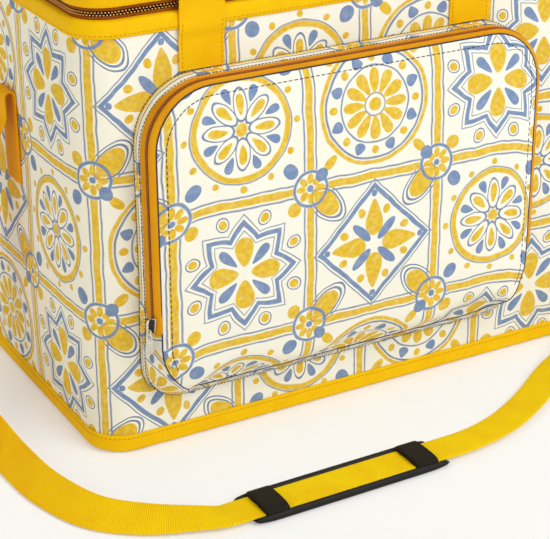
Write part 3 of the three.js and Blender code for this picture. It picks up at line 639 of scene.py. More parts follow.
def tile_inks(across, up):
    """How much gold, blue and outline ink lies at a place, counted in tiles."""
    column, row = calculate("FLOOR", across), calculate("FLOOR", up)
    a, b = across - column - 0.5, up - row - 0.5
    radius = calculate("SQRT", a * a + b * b)
    turn = calculate("ARCTAN2", b, a)
    a_far, b_far = calculate("ABSOLUTE", a), calculate("ABSOLUTE", b)
    folds = [(4, 0), (4, 0.5), (8, 0), (8, 0.5), (12, 0)]
    sectors = [Sector(radius, fold_turn(turn, count, shift)) for count, shift in folds]
    kind = calculate("FLOORED_MODULO", column + row * 2.0, 4.0)
    inks = ([], [], [])
    for number, draw in enumerate((sunflower, star, leaf_cross, daisy)):
        here = calculate("COMPARE", kind, float(number), 0.5)
        for ink, marks in zip(inks, draw(radius, *sectors, a_far + b_far)):
            ink.append(largest(marks) * here)
    corner_a, corner_b = a_far * -1.0 + 0.5, b_far * -1.0 + 0.5
    near = calculate("SQRT", corner_a * corner_a + corner_b * corner_b)
    rosette = Sector(near, fold_turn(calculate("ARCTAN2", corner_b, corner_a), 8))
    beyond = ramp(near, 0.13, 0.14)
    edge = calculate("MAXIMUM", a_far, b_far)
    inks[0].extend([beyond * stroke(edge, 0.488, 0.014), inside(rosette.petal(0.07, 0.038, 0.024))])
    inks[1].extend([inside(near, 0.024, 0.005), stroke(near, 0.122, 0.011)])
    inks[2].append(beyond * stroke(edge, 0.455, 0.006))
    return [largest(ink) for ink in inks]


def printed_finish():
    """The tiles with shaky outlines and worn ink, on a canvas whose weave shows as a bump."""
    finish, shader = new_finish("tile_canvas", 0.8, gloss=0.15)
    place, across, up = cloth_map(finish.node_tree)
    shaky = [(grain(place, scale, 1.0) - 0.5) * HAND_SHAKE for scale in (52, 61)]
    gold, blue, outline = tile_inks(across / TILE + shaky[0], up / TILE + shaky[1])
    patchy = ramp(grain(place, 150, 5.0), 0.25, 0.6, 0.88, 1.0)
    speckle = ramp(grain(place, 1400, 2.0), 0.3, 0.55, 0.86, 1.0)
    colour = mix_colour(grain(place, 14), CREAM, shown(250, 246, 228))
    gold_tint = mix_colour(ramp(grain(place, 240, 3.0), 0.35, 0.65), GOLD, shown(238, 202, 36))
    for ink, tint in ((outline, OUTLINE), (gold, gold_tint), (blue, BLUE)):
        colour = mix_colour(ink * patchy * speckle, colour, tint)
    feed(shader.inputs["Base Color"], colour)
    weave = [calculate("SINE", direction * (TAU / CANVAS_THREAD)) for direction in (across, up)]
    emboss(shader, weave[0] * weave[1] * 0.3 + 0.5 + grain(place, 60, 4.0) * 0.6, 0.25 * MM)
    return finish


print_finish = printed_finish()
print("print:", len(print_finish.node_tree.nodes), "nodes")

# %% [markdown]
# ## The canvas shell
#
# The walls are one strip of canvas, wrapped round four rounded corners and sewn at the foot and at the
# mouth. A rounded box would give the outline, but canvas over foam is never flat: it swells a little
# between its seams. So the strip is wrapped along the outline, held where something is sewn to it, and
# blown out by Blender's cloth simulation with a light pressure from inside.

# %% Runs along an outline
CORNER_RADIUS = 30 * MM


def turn_corner(centre, radius, start, end, steps=10):
    """Places on an arc, in degrees, with the direction that points outwards at each."""
    angles = np.radians(np.linspace(start, end, steps + 1))
    normals = table_of(np.cos(angles), np.sin(angles))
    return np.array(centre) + radius * normals, normals


def single(place, out):
    """A stretch of one place, with its direction outwards."""
    return [place], [out]


def make_run(*stretches):
    """Joins stretches of (places, outward directions) into one run that is measured by its length."""
    places = np.vstack([places for places, _ in stretches])
    normals = np.vstack([normals for _, normals in stretches])
    return lengths_along(places), places, normals


def follow(run, distance, out):
    """The two coordinates of a place so far along a run, and so far outwards from it."""
    far, places, normals = run
    return [
        np.interp(distance, far, places[:, axis]) + out * np.interp(distance, far, normals[:, axis])
        for axis in (0, 1)
    ]


corner_x, corner_y = HALF_WIDTH - CORNER_RADIUS, HALF_DEPTH - CORNER_RADIUS
back_middle = single((0, HALF_DEPTH), (0, 1))
BAG_RUN = make_run(
    back_middle,
    turn_corner((-corner_x, corner_y), CORNER_RADIUS, 90, 180),
    turn_corner((-corner_x, -corner_y), CORNER_RADIUS, 180, 270),
    turn_corner((corner_x, -corner_y), CORNER_RADIUS, 270, 360),
    turn_corner((corner_x, corner_y), CORNER_RADIUS, 360, 450),
    back_middle,
)
BAG_GIRTH = BAG_RUN[0][-1]
print("shell: girth", round(BAG_GIRTH, 3), "m")


# %% Swell a sheet between its seams
CLOTH_FRAMES = 18
CLOTH_PRESSURE = 4.0


def step_cloth(sheet, held):
    """Runs the cloth simulation with pressure and no gravity; returns where the corners end up."""
    group = sheet.vertex_groups.new(name="sewn")
    group.add(np.flatnonzero(held).tolist(), 1.0, "REPLACE")
    cloth = sheet.modifiers.new("Cloth", "CLOTH")
    cloth.settings.vertex_group_mass = group.name
    cloth.settings.use_pressure = True
    cloth.settings.uniform_pressure_force = CLOTH_PRESSURE
    cloth.settings.effector_weights.gravity = 0.0
    cloth.settings.quality = 5
    scene = bpy.context.scene
    for frame_number in range(1, CLOTH_FRAMES + 1):
        scene.frame_set(frame_number)
    swollen = sheet.evaluated_get(bpy.context.evaluated_depsgraph_get())
    table = corners_of(swollen)
    sheet.modifiers.remove(cloth)
    sheet.vertex_groups.remove(group)
    scene.frame_set(1)
    return table


def swell(sheet, held, most):
    """Puffs a sheet out where it isn't held, by no more than the given length."""
    rest = corners_of(sheet)
    moved = step_cloth(sheet, held) - rest
    furthest = np.linalg.norm(moved, axis=1).max()
    move_corners(sheet, rest + moved * min(1.0, most / furthest))
    print(sheet.name, "swelled by", round(furthest / MM, 1), "mm before the limit")


# %% Wrap the shell
pocket_low, pocket_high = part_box("pocket_rear_gusset")
leg_low, leg_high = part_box("front_handle_leg_right")
FITTINGS_MIDDLE = (pocket_low.x + pocket_high.x) / 2
SHELL_WALL = 1.6 * MM
SEWN_MARGIN = 4 * MM
FOOT_SEAM, MOUTH_SEAM = 18 * MM, 345 * MM


def shell_place(u, v):
    x, y = follow(BAG_RUN, u * BAG_GIRTH, 0.0)
    return table_of(x, y, shell_low.z + v * (shell_high.z - shell_low.z))


def shell_cloth(u, v):
    return table_of((u - 0.5) * BAG_GIRTH, shell_low.z + v * (shell_high.z - shell_low.z))


def between(value, low, high):
    """Where something from low to high is sewn on, with a margin on both sides."""
    return (value > low - SEWN_MARGIN) & (value < high + SEWN_MARGIN)


shell = close_sheet(wrap_sheet("canvas_shell", 280, 64, shell_place, shell_cloth), fill=False)
x, y, z = corners_of(shell).T
seams = (z < FOOT_SEAM) | (z > MOUTH_SEAM)
under_pocket = (y < 0) & between(x, pocket_low.x, pocket_high.x) & between(z, pocket_low.z, pocket_high.z)
# The left leg of a handle is the right one, mirrored.
leg_reach = abs(x - FITTINGS_MIDDLE) + FITTINGS_MIDDLE
under_legs = between(leg_reach, leg_low.x, leg_high.x) & (z > leg_low.z - SEWN_MARGIN)
under_anchors = between(abs(y), 0, STRAP_WIDTH / 2) & between(z, anchor_low.z, anchor_high.z)
swell(shell, seams | under_pocket | under_legs | under_anchors, most=2.6 * MM)
apply_modifier(shell, "SOLIDIFY", thickness=SHELL_WALL, offset=-1.0)
dress(shell, print_finish, "bag")
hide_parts("outer_shell")
print("shell:", len(shell.data.polygons), "faces")

# %% [markdown]
# ## Bindings round the foot and the mouth
#
# Raw canvas edges fray, so each is wrapped in folded tape. A tape like this is the same soft section
# carried all the way round, which is a sweep: we walk along the outline and place the section at each
# step. The sections are given as (out, height) in millimetres, with their folds already rounded.

# %% Sweep a section along a run
def stand_on_bag(x, y, level):
    """From a place on the outline of the bag, and a height, to the frame."""
    return table_of(x, y, level)


def sweep_band(name, run, section, stand=stand_on_bag, step=4 * MM):
    """Carries a closed section of (out, level) points, in millimetres, along a run."""
    section = np.array(section + section[:1]) * MM
    length, rows = run[0][-1], len(section) - 1
    girth = lengths_along(section)

    def place(u, v):
        j = line_at(v, rows)
        a, b = follow(run, u * length, section[j, 0])
        return stand(a, b, section[j, 1])

    def cloth(u, v):
        return table_of(u * length, girth[line_at(v, rows)])

    band = close_sheet(wrap_sheet(name, round(length / step), rows, place, cloth))
    apply_modifier(band, "SUBSURF", levels=1, render_levels=1)
    return band


# %% Base binding and mouth band
BASE_BINDING = [
    (-0.4, 16.2), (0.9, 16.6), (1.9, 15.7), (2.2, 12), (2.3, 7), (2.2, 4.2), (1.5, 2.5), (0.2, 1.5),
    (-3, 0.5), (-6, 0.05), (-6, 0.9), (-3, 1.7), (-0.8, 2.6), (-0.5, 8),
]
MOUTH_BAND = [
    (-0.4, 346.6), (1.2, 346.3), (2.0, 347.3), (2.3, 350), (2.3, 354), (1.9, 358), (0.7, 359.9),
    (-3, 360.2), (-8, 360.2), (-11.6, 360.0), (-12.9, 358.6), (-13.1, 353), (-12.9, 347.4), (-12.2, 346.8),
    (-11.4, 347.4), (-11.3, 353), (-10.8, 358.2), (-5, 358.7), (-0.6, 358.4), (-0.4, 353),
]
base_binding = sweep_band("foot_binding", BAG_RUN, BASE_BINDING)
mouth_band = sweep_band("mouth_binding", BAG_RUN, MOUTH_BAND)
for band, node in ((base_binding, "base_binding"), (mouth_band, "mouth_band")):
    dress(band, tape_finish, "bag")
    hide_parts(node)
print("bindings:", round(BAG_GIRTH, 2), "m of tape each")

# %% [markdown]
# ## Panels with round corners
#
# The base, the lid and the pocket face are sheets with rounded corners. A grid has square corners, so
# the squares at its corners are eased onto a quarter disc: the rows and columns stay where they are in
# the middle and only bend near the corners, which keeps the faces even for the cloth simulation.

# %% Base panel
def ease_corner(a, b):
    """Maps a unit square onto a quarter disc, leaving its two inner edges in place."""
    return a * np.sqrt(1 - b**2 / 2), b * np.sqrt(1 - a**2 / 2)


def round_panel(a, b, half, low, high, low_radius, high_radius):
    """Bends a rectangle, from -half to half and from low to high, so that its corners are round."""
    upper = b > (low + high) / 2
    radius = np.where(upper, high_radius, low_radius)
    centre_a = half - radius
    centre_b = np.where(upper, high - radius, low + radius)
    side_a, side_b = np.sign(a), np.where(upper, 1, -1)
    over_a = np.clip((abs(a) - centre_a) / radius, 0, 1)
    over_b = np.clip((b - centre_b) * side_b / radius, 0, 1)
    bent_a, bent_b = ease_corner(over_a, over_b)
    a = np.where(over_a > 0, side_a * (centre_a + radius * bent_a), a)
    b = np.where(over_b > 0, centre_b + side_b * radius * bent_b, b)
    return a, b


BASE_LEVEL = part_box("base_panel")[1].z
BASE_INSET = 1 * MM


def base_place(u, v):
    reach_x, reach_y = HALF_WIDTH - BASE_INSET, HALF_DEPTH - BASE_INSET
    x, y = round_panel(
        (2 * u - 1) * reach_x, (2 * v - 1) * reach_y, reach_x, -reach_y, reach_y,
        CORNER_RADIUS, CORNER_RADIUS,
    )
    return table_of(x, y, BASE_LEVEL)


base_panel = wrap_sheet("canvas_base", 60, 44, base_place, lambda u, v: base_place(u, v)[:, :2])
apply_modifier(base_panel, "SOLIDIFY", thickness=1.2 * MM, offset=-1.0)
dress(base_panel, print_finish, "bag")
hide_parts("base_panel")
print("base panel:", len(base_panel.data.polygons), "faces")

# %% [markdown]
# ## The lid
#
# The lid has a webbing wall that stands on the zip, a printed top, and binding over the edge between
# them. At the back it hangs on a strip of tape. That strip belongs to the bag on one side of the hinge
# and to the lid on the other; here it is swept once along the hinge and rides on neither body.

# %% Lid walls
band_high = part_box("lid_band")[1]
ZIP_END = band_high.y
FRONT_RUN = make_run(
    single((-HALF_WIDTH, ZIP_END), (-1, 0)),
    turn_corner((-corner_x, -corner_y), CORNER_RADIUS, 180, 270),
    turn_corner((corner_x, -corner_y), CORNER_RADIUS, 270, 360),
    single((HALF_WIDTH, ZIP_END), (1, 0)),
)
REAR_RUN = make_run(
    single((HALF_WIDTH, ZIP_END + SEAM), (1, 0)),
    turn_corner((corner_x, corner_y), CORNER_RADIUS, 0, 90),
    turn_corner((-corner_x, corner_y), CORNER_RADIUS, 90, 180),
    single((-HALF_WIDTH, ZIP_END + SEAM), (-1, 0)),
)
LID_BAND = [
    (-4.8, 369.1), (-1.6, 369.0), (-0.8, 369.9), (-0.6, 375), (-0.6, 384), (-1.0, 390.4), (-2.4, 390.5),
    (-2.5, 384), (-2.5, 372), (-4.8, 370.6),
]
BACK_RISER = [
    (-1.2, 360.3), (-0.8, 361.2), (-0.6, 370), (-0.6, 386), (-1.4, 390), (-3.0, 390.7), (-7.6, 390.7),
    (-7.6, 389.4), (-3.2, 389.2), (-2.3, 387), (-2.3, 361.2), (-2.2, 360.3),
]
LID_BINDING = [
    (-0.7, 383.6), (0.2, 383.4), (0.8, 384.4), (1.0, 388), (0.9, 392), (0.1, 394.2), (-1.6, 394.9),
    (-5, 395.0), (-8.2, 394.8), (-9.0, 394.1), (-8.4, 393.3), (-4, 393.2), (-1.0, 392.6), (-0.7, 388),
]
LID_WALLS = [
    ("lid_wall", FRONT_RUN, LID_BAND, "lid_band", "lid", handle_finish, "yellow_webbing"),
    ("back_wall", REAR_RUN, BACK_RISER, "back_riser", "bag", handle_finish, "yellow_webbing"),
    ("lid_edge_binding", FRONT_RUN, LID_BINDING, "lid_binding", "lid", tape_finish, "yellow_tape"),
]
for name, run, section, node, body, finish, slot in LID_WALLS:
    wall = sweep_band(name, run, section)
    dress(wall, finish, body)
    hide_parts(node)
print("lid walls:", [name for name, *_ in LID_WALLS])

# %% Lid top
lid_low, lid_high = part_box("lid_panel")
HINGE_Y = lid_high.y
LID_RADIUS = lid_high.x - corner_x
LID_PRINT_SHIFT = (0.02, 0.035)
RIM_HELD, HINGE_HELD = 10 * MM, 8 * MM


def lid_half_width(y):
    """Half the width of the lid, which grows narrower round its corners."""
    return corner_x + np.sqrt(LID_RADIUS**2 - np.clip(abs(y) - corner_y, 0, LID_RADIUS) ** 2)


def lid_place(u, v):
    y = lid_low.y + v * (lid_high.y - lid_low.y)
    x = (2 * u - 1) * lid_high.x
    front_x, front_y = round_panel(x, y, lid_high.x, lid_low.y, -lid_low.y, LID_RADIUS, LID_RADIUS)
    back_x = x * lid_half_width(y) / lid_high.x
    return table_of(np.where(y < 0, front_x, back_x), np.where(y < 0, front_y, y), lid_high.z)


def lid_cloth(u, v):
    return lid_place(u, v)[:, :2] + LID_PRINT_SHIFT


lid_top = wrap_sheet("canvas_lid", 96, 68, lid_place, lid_cloth)
x, y, _ = corners_of(lid_top).T
near_sides = lid_half_width(y) - abs(x) < RIM_HELD
near_ends = (y - lid_low.y < RIM_HELD) | (lid_high.y - y < HINGE_HELD)
swell(lid_top, near_sides | near_ends, most=4 * MM)
apply_modifier(lid_top, "SOLIDIFY", thickness=1.6 * MM, offset=-1.0)
smooth(lid_top, 40)
dress(lid_top, print_finish, "lid")
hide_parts("lid_panel")
print("lid top:", len(lid_top.data.polygons), "faces")

# %% Hinge tape
HINGE_REACH = 10 * MM
HINGE_HALF = HALF_WIDTH - 17 * MM
HINGE_SECTION = [
    (-1, 2.5), (-0.85, 3.4), (-0.4, 3.7), (0, 3.7), (0.4, 3.1), (0.75, 1.6), (0.8, 0.3), (0.6, 0.3),
    (0.3, 1.8), (0, 2.5), (-0.4, 2.6), (-0.85, 2.3),
]


def straight_run(start, end):
    """A run between two places, with outwards along the second of its two axes."""
    return make_run(single(start, (0, 1)), single(end, (0, 1)))


hinge_run = straight_run((HINGE_HALF, HINGE_Y), (-HINGE_HALF, HINGE_Y))
hinge_section = [(reach * HINGE_REACH / MM, band_high.z / MM + rise) for reach, rise in HINGE_SECTION]
hinge_tape = sweep_band("hinge_tape", hinge_run, hinge_section)
dress(hinge_tape, tape_finish)
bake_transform(hinge_tape)
print("lid: hinge at", round(HINGE_Y / MM, 1), "mm behind the middle")

# %% [markdown]
# ## The front pocket
#
# The pocket stands a thumb's breadth proud of the front: a printed strip is sewn to the shell, then the
# zip with its two tapes, then the face. The front tape leans in towards the face, which is a little
# smaller than the pocket's outline on the shell. All of it is described by how far it stands forward of
# the shell, which we call its level, at a place (x, z) on the front, with x from the pocket's middle.

# %% Outlines of the pocket and its face
FOLD_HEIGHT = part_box("pocket_flap_panel")[0].z - SEAM
FACE_LEVEL = -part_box("pocket_flap_panel")[0].y - HALF_DEPTH


def outline_runs(half, foot, head, foot_radius, head_radius):
    """Runs along a rounded outline: over its head as the zip goes, round its foot, and all round it."""
    left, right = single((-half, FOLD_HEIGHT), (-1, 0)), single((half, FOLD_HEIGHT), (1, 0))
    across, top = half - head_radius, head - head_radius
    over = [
        turn_corner((-across, top), head_radius, 180, 90),
        turn_corner((across, top), head_radius, 90, 0),
    ]
    across, low = half - foot_radius, foot + foot_radius
    under = [
        turn_corner((-across, low), foot_radius, 180, 270),
        turn_corner((across, low), foot_radius, 270, 360),
    ]
    back_over = [[side[::-1] for side in corner] for corner in over[::-1]]
    all_round = make_run(right, *back_over, *under, right)
    return make_run(left, *over, right), make_run(left, *under, right), all_round


POCKET_HALF = pocket_high.x - FITTINGS_MIDDLE
POCKET_FOOT, POCKET_HEAD = pocket_low.z, pocket_high.z
POCKET_FOOT_RADIUS, POCKET_HEAD_RADIUS = 32 * MM, 51 * MM
POCKET_ZIP_RUN, POCKET_FOOT_RUN, POCKET_RUN = outline_runs(
    POCKET_HALF, POCKET_FOOT, POCKET_HEAD, POCKET_FOOT_RADIUS, POCKET_HEAD_RADIUS,
)
FACE_HALF = POCKET_HALF - 5.5 * MM
FACE_FOOT, FACE_HEAD = POCKET_FOOT + 5 * MM, POCKET_HEAD - 3.2 * MM
FOOT_RADIUS, HEAD_RADIUS = 50 * MM, 47 * MM
FACE_ZIP_RUN, FACE_FOOT_RUN, FACE_RUN = outline_runs(
    FACE_HALF, FACE_FOOT, FACE_HEAD, FOOT_RADIUS, HEAD_RADIUS,
)


def stand_on_pocket(x, z, level):
    """From a place on the pocket, and its level, to the frame."""
    return table_of(x + FITTINGS_MIDDLE, -HALF_DEPTH - level, z)


print("pocket: face stands", round(FACE_LEVEL / MM, 1), "mm proud")
print("pocket: flap folds at", round(FOLD_HEIGHT / MM, 1), "mm")

# %% [markdown]
# The face is padded, so it lies lower at its edge than in the middle. At the foot it turns under and
# runs back to its seam, but not along one straight crease: the cloth below the crease gathers in lumps,
# and the crease rises over each lump and dips between two of them.

# %% Shape of the face
SEAM_LEVEL = 8 * MM
LOWEST_CREASE = 62 * MM
CREASE_SOFTNESS = 6 * MM
LUMPS = [(-168, 26, -12), (-112, 34, 17), (12, 36, 17), (122, 40, 18), (176, 26, -12)]
EDGE_ROLL = 6.5 * MM
EDGE_ROLL_WIDTH = 30 * MM
STITCH_INSET = 7 * MM
STITCH_DENT, STITCH_DENT_WIDTH = 0.5 * MM, 1.3 * MM
FOOT_FADE = 30 * MM


def face_inset(x, z):
    """How far a place lies inside the edge of the face."""
    upper = z > (FACE_FOOT + FACE_HEAD) / 2
    radius = np.where(upper, HEAD_RADIUS, FOOT_RADIUS)
    over_x = abs(x) - (FACE_HALF - radius)
    over_z = np.where(upper, z - (FACE_HEAD - radius), FACE_FOOT + radius - z)
    corner = np.hypot(np.clip(over_x, 0, None), np.clip(over_z, 0, None))
    return np.clip(radius - corner - np.minimum(np.maximum(over_x, over_z), 0), 0, None)


def crease_height(x):
    """Where the face turns under: higher over each lump, given by its middle, half-width and rise."""
    bumps = [rise * np.exp(-(((x / MM - centre) / width) ** 2)) for centre, width, rise in LUMPS]
    return LOWEST_CREASE + np.sum(bumps, axis=0) * MM


def turn_under(drop):
    """0 above the crease, growing with the drop below it."""
    return (drop + np.sqrt(drop**2 + CREASE_SOFTNESS**2)) / 2


def face_level(x, z):
    """How far the face stands forward: less at its edge, along its stitches and where it turns under."""
    crease, inset = crease_height(x), face_inset(x, z)
    under = turn_under(crease - z) / turn_under(crease - FACE_FOOT)
    roll = EDGE_ROLL * (1 - np.sin(np.clip(inset / EDGE_ROLL_WIDTH, 0, 1) * math.pi / 2)) ** 1.6
    sewn = STITCH_DENT * np.exp(-(((inset - STITCH_INSET) / STITCH_DENT_WIDTH) ** 2))
    above = np.clip((z - FACE_FOOT) / FOOT_FADE, 0, 1)
    return FACE_LEVEL - (FACE_LEVEL - SEAM_LEVEL) * under - (roll + sewn) * above


rise = crease_height(np.linspace(-FACE_HALF, FACE_HALF, 200)) / MM
print("pocket face: turns under between", round(rise.min()), "and", round(rise.max()), "mm up")


# %% Cut the face
def close_to_edges(low, high, fine, coarse, margin):
    """Places from low to high that lie close together near both ends."""
    inner = round((high - low - 2 * margin) / coarse)
    edge = np.arange(0, margin, fine)
    middle = np.linspace(low + margin, high - margin, inner + 1)
    return np.concatenate([low + edge, middle, high - edge[::-1]])


face_columns = close_to_edges(-FACE_HALF, FACE_HALF, 1.1 * MM, 3.2 * MM, 10 * MM)
face_rows = close_to_edges(FACE_FOOT, FACE_HEAD, 1.1 * MM, 2.8 * MM, 10 * MM)
FACE_GRID = (len(face_rows), len(face_columns), 3)
FACE_PRINT_SHIFT = (0.070, 0.021)


def face_place(u, v):
    x = np.interp(u, np.linspace(0, 1, len(face_columns)), face_columns)
    z = np.interp(v, np.linspace(0, 1, len(face_rows)), face_rows)
    x, z = round_panel(x, z, FACE_HALF, FACE_FOOT, FACE_HEAD, FOOT_RADIUS, HEAD_RADIUS)
    return stand_on_pocket(x, z, face_level(x, z))


def face_cloth(u, v):
    """Unrolls the face: lengths are measured along it, downwards from its head."""
    table = face_place(u, v)
    grid = table[np.lexsort((np.rint(u * 1e6), np.rint(v * 1e6)))].reshape(FACE_GRID)
    steps = np.linalg.norm(np.diff(grid, axis=0), axis=2)
    up = np.vstack([np.zeros((1, FACE_GRID[1])), np.cumsum(steps, axis=0)])
    up += POCKET_HEAD - up[-1:]
    row, column = line_at(v, FACE_GRID[0] - 1), line_at(u, FACE_GRID[1] - 1)
    return table_of(table[:, 0], up[row, column]) + FACE_PRINT_SHIFT


print("pocket face: a grid of", FACE_GRID[1], "by", FACE_GRID[0], "corners")

# %% Swell the face and bake it in place
FACE_WALL = 1.8 * MM
lining_finish = woven_finish(
    "pocket_lining", shown(240, 196, 60), shown(214, 160, 30),
    rib=0.6 * MM, yarn=0.6 * MM, depth=0.05 * MM,
)
pocket_face = wrap_sheet("canvas_pocket_face", FACE_GRID[1] - 1, FACE_GRID[0] - 1, face_place, face_cloth)
x, _, z = corners_of(pocket_face).T
x = x - FITTINGS_MIDDLE
near_seam = face_inset(x, z) < STITCH_INSET + 1.5 * MM
swell(pocket_face, near_seam | (z < crease_height(x) + 8 * MM), most=3 * MM)
dress(pocket_face, print_finish)
pocket_face.data.materials.append(lining_finish)
apply_modifier(pocket_face, "SOLIDIFY", thickness=FACE_WALL, offset=-1.0, material_offset=1)
smooth(pocket_face, 50)
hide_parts("pocket_flap_panel", "pocket_lower_panel", "pocket_flap_lining")


def hang_on_fold(piece):
    """Bakes the place of a piece of the face into its mesh."""
    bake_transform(piece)


hang_on_fold(pocket_face)
print("pocket face:", len(pocket_face.data.polygons), "faces")

# %% Strip on the shell
FOOT_STRIP = 6 * MM
STRIP_SECTION = np.array([
    (0.9, 0.0), (0.9, 0.08), (0.7, 0.18), (0.5, 0.38), (0.4, 0.72), (0.3, 0.96), (-0.2, 1.02),
    (-1.2, 1.0), (-1.2, 0.5), (-1.0, 0.02), (0.9, 0.0),
])
STRIP_ROWS = len(STRIP_SECTION) - 1
STRIP_LENGTH = POCKET_RUN[0][-1]
STRIP_DEPTH = 11


def strip_place(u, v):
    """The section, given as (out, share of the depth): narrow round the foot, deepest over the head."""
    distance = u * STRIP_LENGTH
    out, share = STRIP_SECTION[line_at(v, STRIP_ROWS)].T
    _, height = follow(POCKET_RUN, distance, 0.0)
    flare = np.interp(height / MM, [48, 60, 110, 140], [0.3, 2.4, 2.4, 1.0])
    depths = [FOOT_STRIP, 9.5 * MM, 9.5 * MM, 12.5 * MM]
    depth = np.interp(height / MM, [84, 120, 260, 305], depths)
    x, z = follow(POCKET_RUN, distance, out * flare * MM)
    return stand_on_pocket(x, z, share * depth)


def strip_cloth(u, v):
    """Lays the strip out flat, taking it to be equally deep all round."""
    girth = lengths_along(STRIP_SECTION * [1, STRIP_DEPTH])
    return table_of(u * STRIP_LENGTH, girth[line_at(v, STRIP_ROWS)] * MM)


strip_steps = round(STRIP_LENGTH / (3 * MM))
rear_strip = close_sheet(
    wrap_sheet("canvas_pocket_strip", strip_steps, STRIP_ROWS, strip_place, strip_cloth),
)
apply_modifier(rear_strip, "SUBSURF", levels=1, render_levels=1)
dress(rear_strip, print_finish, "bag")
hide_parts("pocket_rear_gusset")
print("pocket strip:", round(STRIP_LENGTH, 3), "m round the pocket")

# %% [markdown]
# The zip goes over the head of the pocket and ends at the fold. Round the foot, a wall of printed canvas
# closes the pocket instead. It could be swept like a tape, but it grows narrower as the face turns under.
# So it is a sheet between two outlines: each row of it lies a little further from the strip on the shell
# and a little nearer to the edge of the face, and it sags and ripples in between.

# %% Tapering wall below the zip
WALL_REAR = FOOT_STRIP - 0.4 * MM
WALL_SAG, WALL_RIPPLE = 1.2 * MM, 1.0 * MM
WALL_LENGTH = POCKET_FOOT_RUN[0][-1]
WALL_PRINT_SHIFT = 0.06


def wall_place(u, v):
    """From the strip, at v = 0, to the edge of the face: steep by the zip, slanting at the corners."""
    distance = u * WALL_LENGTH
    rim_x, rim_z = follow(FACE_FOOT_RUN, u * FACE_FOOT_RUN[0][-1], 0.0)
    front = face_level(rim_x, rim_z) - SEAM
    to_zip = np.minimum(distance, WALL_LENGTH - distance)
    bend = np.interp(to_zip / MM, [0, 36], [2.6, 1.15])
    level = WALL_REAR + v ** (1.9 / (0.9 + bend)) * (front - WALL_REAR)
    deep = np.clip((front - WALL_REAR) / (22 * MM), 0, 1)
    ripple = np.sin(distance / (7 * MM) + 4 * v) * np.sin(distance / (17 * MM) + 1.0)
    sag = np.sin(math.pi * v) * deep * np.clip(to_zip / (12 * MM), 0, 1)
    x, z = follow(POCKET_FOOT_RUN, distance, (WALL_SAG + WALL_RIPPLE * ripple) * sag)
    lap = v**bend
    return stand_on_pocket(x + (rim_x - x) * lap, z + (rim_z - z) * lap, level)


def wall_cloth(u, v):
    return table_of(u * WALL_LENGTH, v * FACE_LEVEL + WALL_PRINT_SHIFT)


foot_wall = wrap_sheet("canvas_pocket_wall", 220, 24, wall_place, wall_cloth)
apply_modifier(foot_wall, "SOLIDIFY", thickness=1.2 * MM, offset=-1.0)
smooth(foot_wall, 50)
dress(foot_wall, print_finish, "bag")
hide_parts("pocket_lower_gusset")
print("pocket wall:", round(WALL_LENGTH, 3), "m round the foot")

# %% [markdown]
# ## Two zips
#
# Each half of a zip is a tape with a coil of nylon along its edge, and the coils of two halves lock
# loop between loop. Modelling a true coil would cost millions of faces. From a hand's breadth away one
# sees a row of small rounded teeth, so we model one tooth, copy it along the run, and shift the
# opposite row by half a pitch.

# %% Zip tapes
def zip_levels(node, axis):
    """From where to where a part of a zip reaches, in millimetres: up, or forward of the shell."""
    low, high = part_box(node)
    if axis == "z":
        return low.z / MM, high.z / MM
    return (-high.y - HALF_DEPTH) / MM, (-low.y - HALF_DEPTH) / MM


def tape_section(face, low, high):
    """A tape one millimetre thick, a little bowed, with its face so far out."""
    back, middle = face - 1.0, (low + high) / 2
    return [
        (face, low), (face + 0.15, middle), (face, high), (back, high), (back + 0.1, middle), (back, low),
    ]


def lapped_section(low):
    """The pocket's front tape: it leans in and laps round onto the front, up to the seam of the face."""
    rim = (FACE_LEVEL - EDGE_ROLL) / MM - 0.3
    lap = (FACE_HALF - POCKET_HALF) / MM
    halfway = (low + rim) / 2
    return [
        (-0.2, low), (-0.1, low + 1.4), (-0.9, halfway + 0.5), (-2.2, rim - 0.8), (-3.6, rim - 0.2),
        (lap, rim), (lap - 0.8, rim - 0.1), (lap - 0.8, rim - 1.1), (-3.4, rim - 1.4), (-2, halfway),
        (-1.3, low + 1), (-1.2, low),
    ]


zip_tape_finish = woven_finish(
    "zip_tape", shown(230, 162, 20), shown(204, 130, 8), rib=0.9 * MM, yarn=0.7 * MM, depth=0.1 * MM,
)
# The main zip's tapes are dark brown: painted shade for the recess in which that zip lies.
main_tape_painted_shade_finish = woven_finish(
    "main_zip_tape_painted_shade", shown(158, 84, 16), shown(120, 54, 8), rib=0.9 * MM, yarn=0.7 * MM, depth=0.1 * MM,
)
POCKET_ZIP_OUT, MAIN_ZIP_OUT = -0.2, -3.0  # in millimetres, as a section is
TAPE_LAP, REAR_TAPE_LAP = 0.2, 4
POCKET_ZIP = POCKET_ZIP_RUN, stand_on_pocket, "y"
MAIN_ZIP = FRONT_RUN, stand_on_bag, "z"
TAPES = [
    ("pocket_tape_rear", "pocket_rear_zip_tape", "bag", zip_tape_finish, *POCKET_ZIP),
    ("pocket_tape_front", "pocket_front_zip_tape", "pocket_flap", zip_tape_finish, *POCKET_ZIP),
    ("main_tape_body", "body_zip_tape", "bag", main_tape_painted_shade_finish, *MAIN_ZIP),
    ("main_tape_lid", "lid_zip_tape", "lid", main_tape_painted_shade_finish, *MAIN_ZIP),
]
for name, node, body, finish, run, stand, axis in TAPES:
    low, high = zip_levels(node, axis)
    if name == "pocket_tape_front":
        section = lapped_section(low - TAPE_LAP)
    elif name == "pocket_tape_rear":
        section = tape_section(POCKET_ZIP_OUT, low - REAR_TAPE_LAP, high + TAPE_LAP)
    else:
        section = tape_section(MAIN_ZIP_OUT, low - TAPE_LAP, high + TAPE_LAP)
    tape = sweep_band(name, run, section, stand)
    dress(tape, finish, body)
    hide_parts(node)
    print(name, "from", round(low, 1), "to", round(high, 1), "mm")


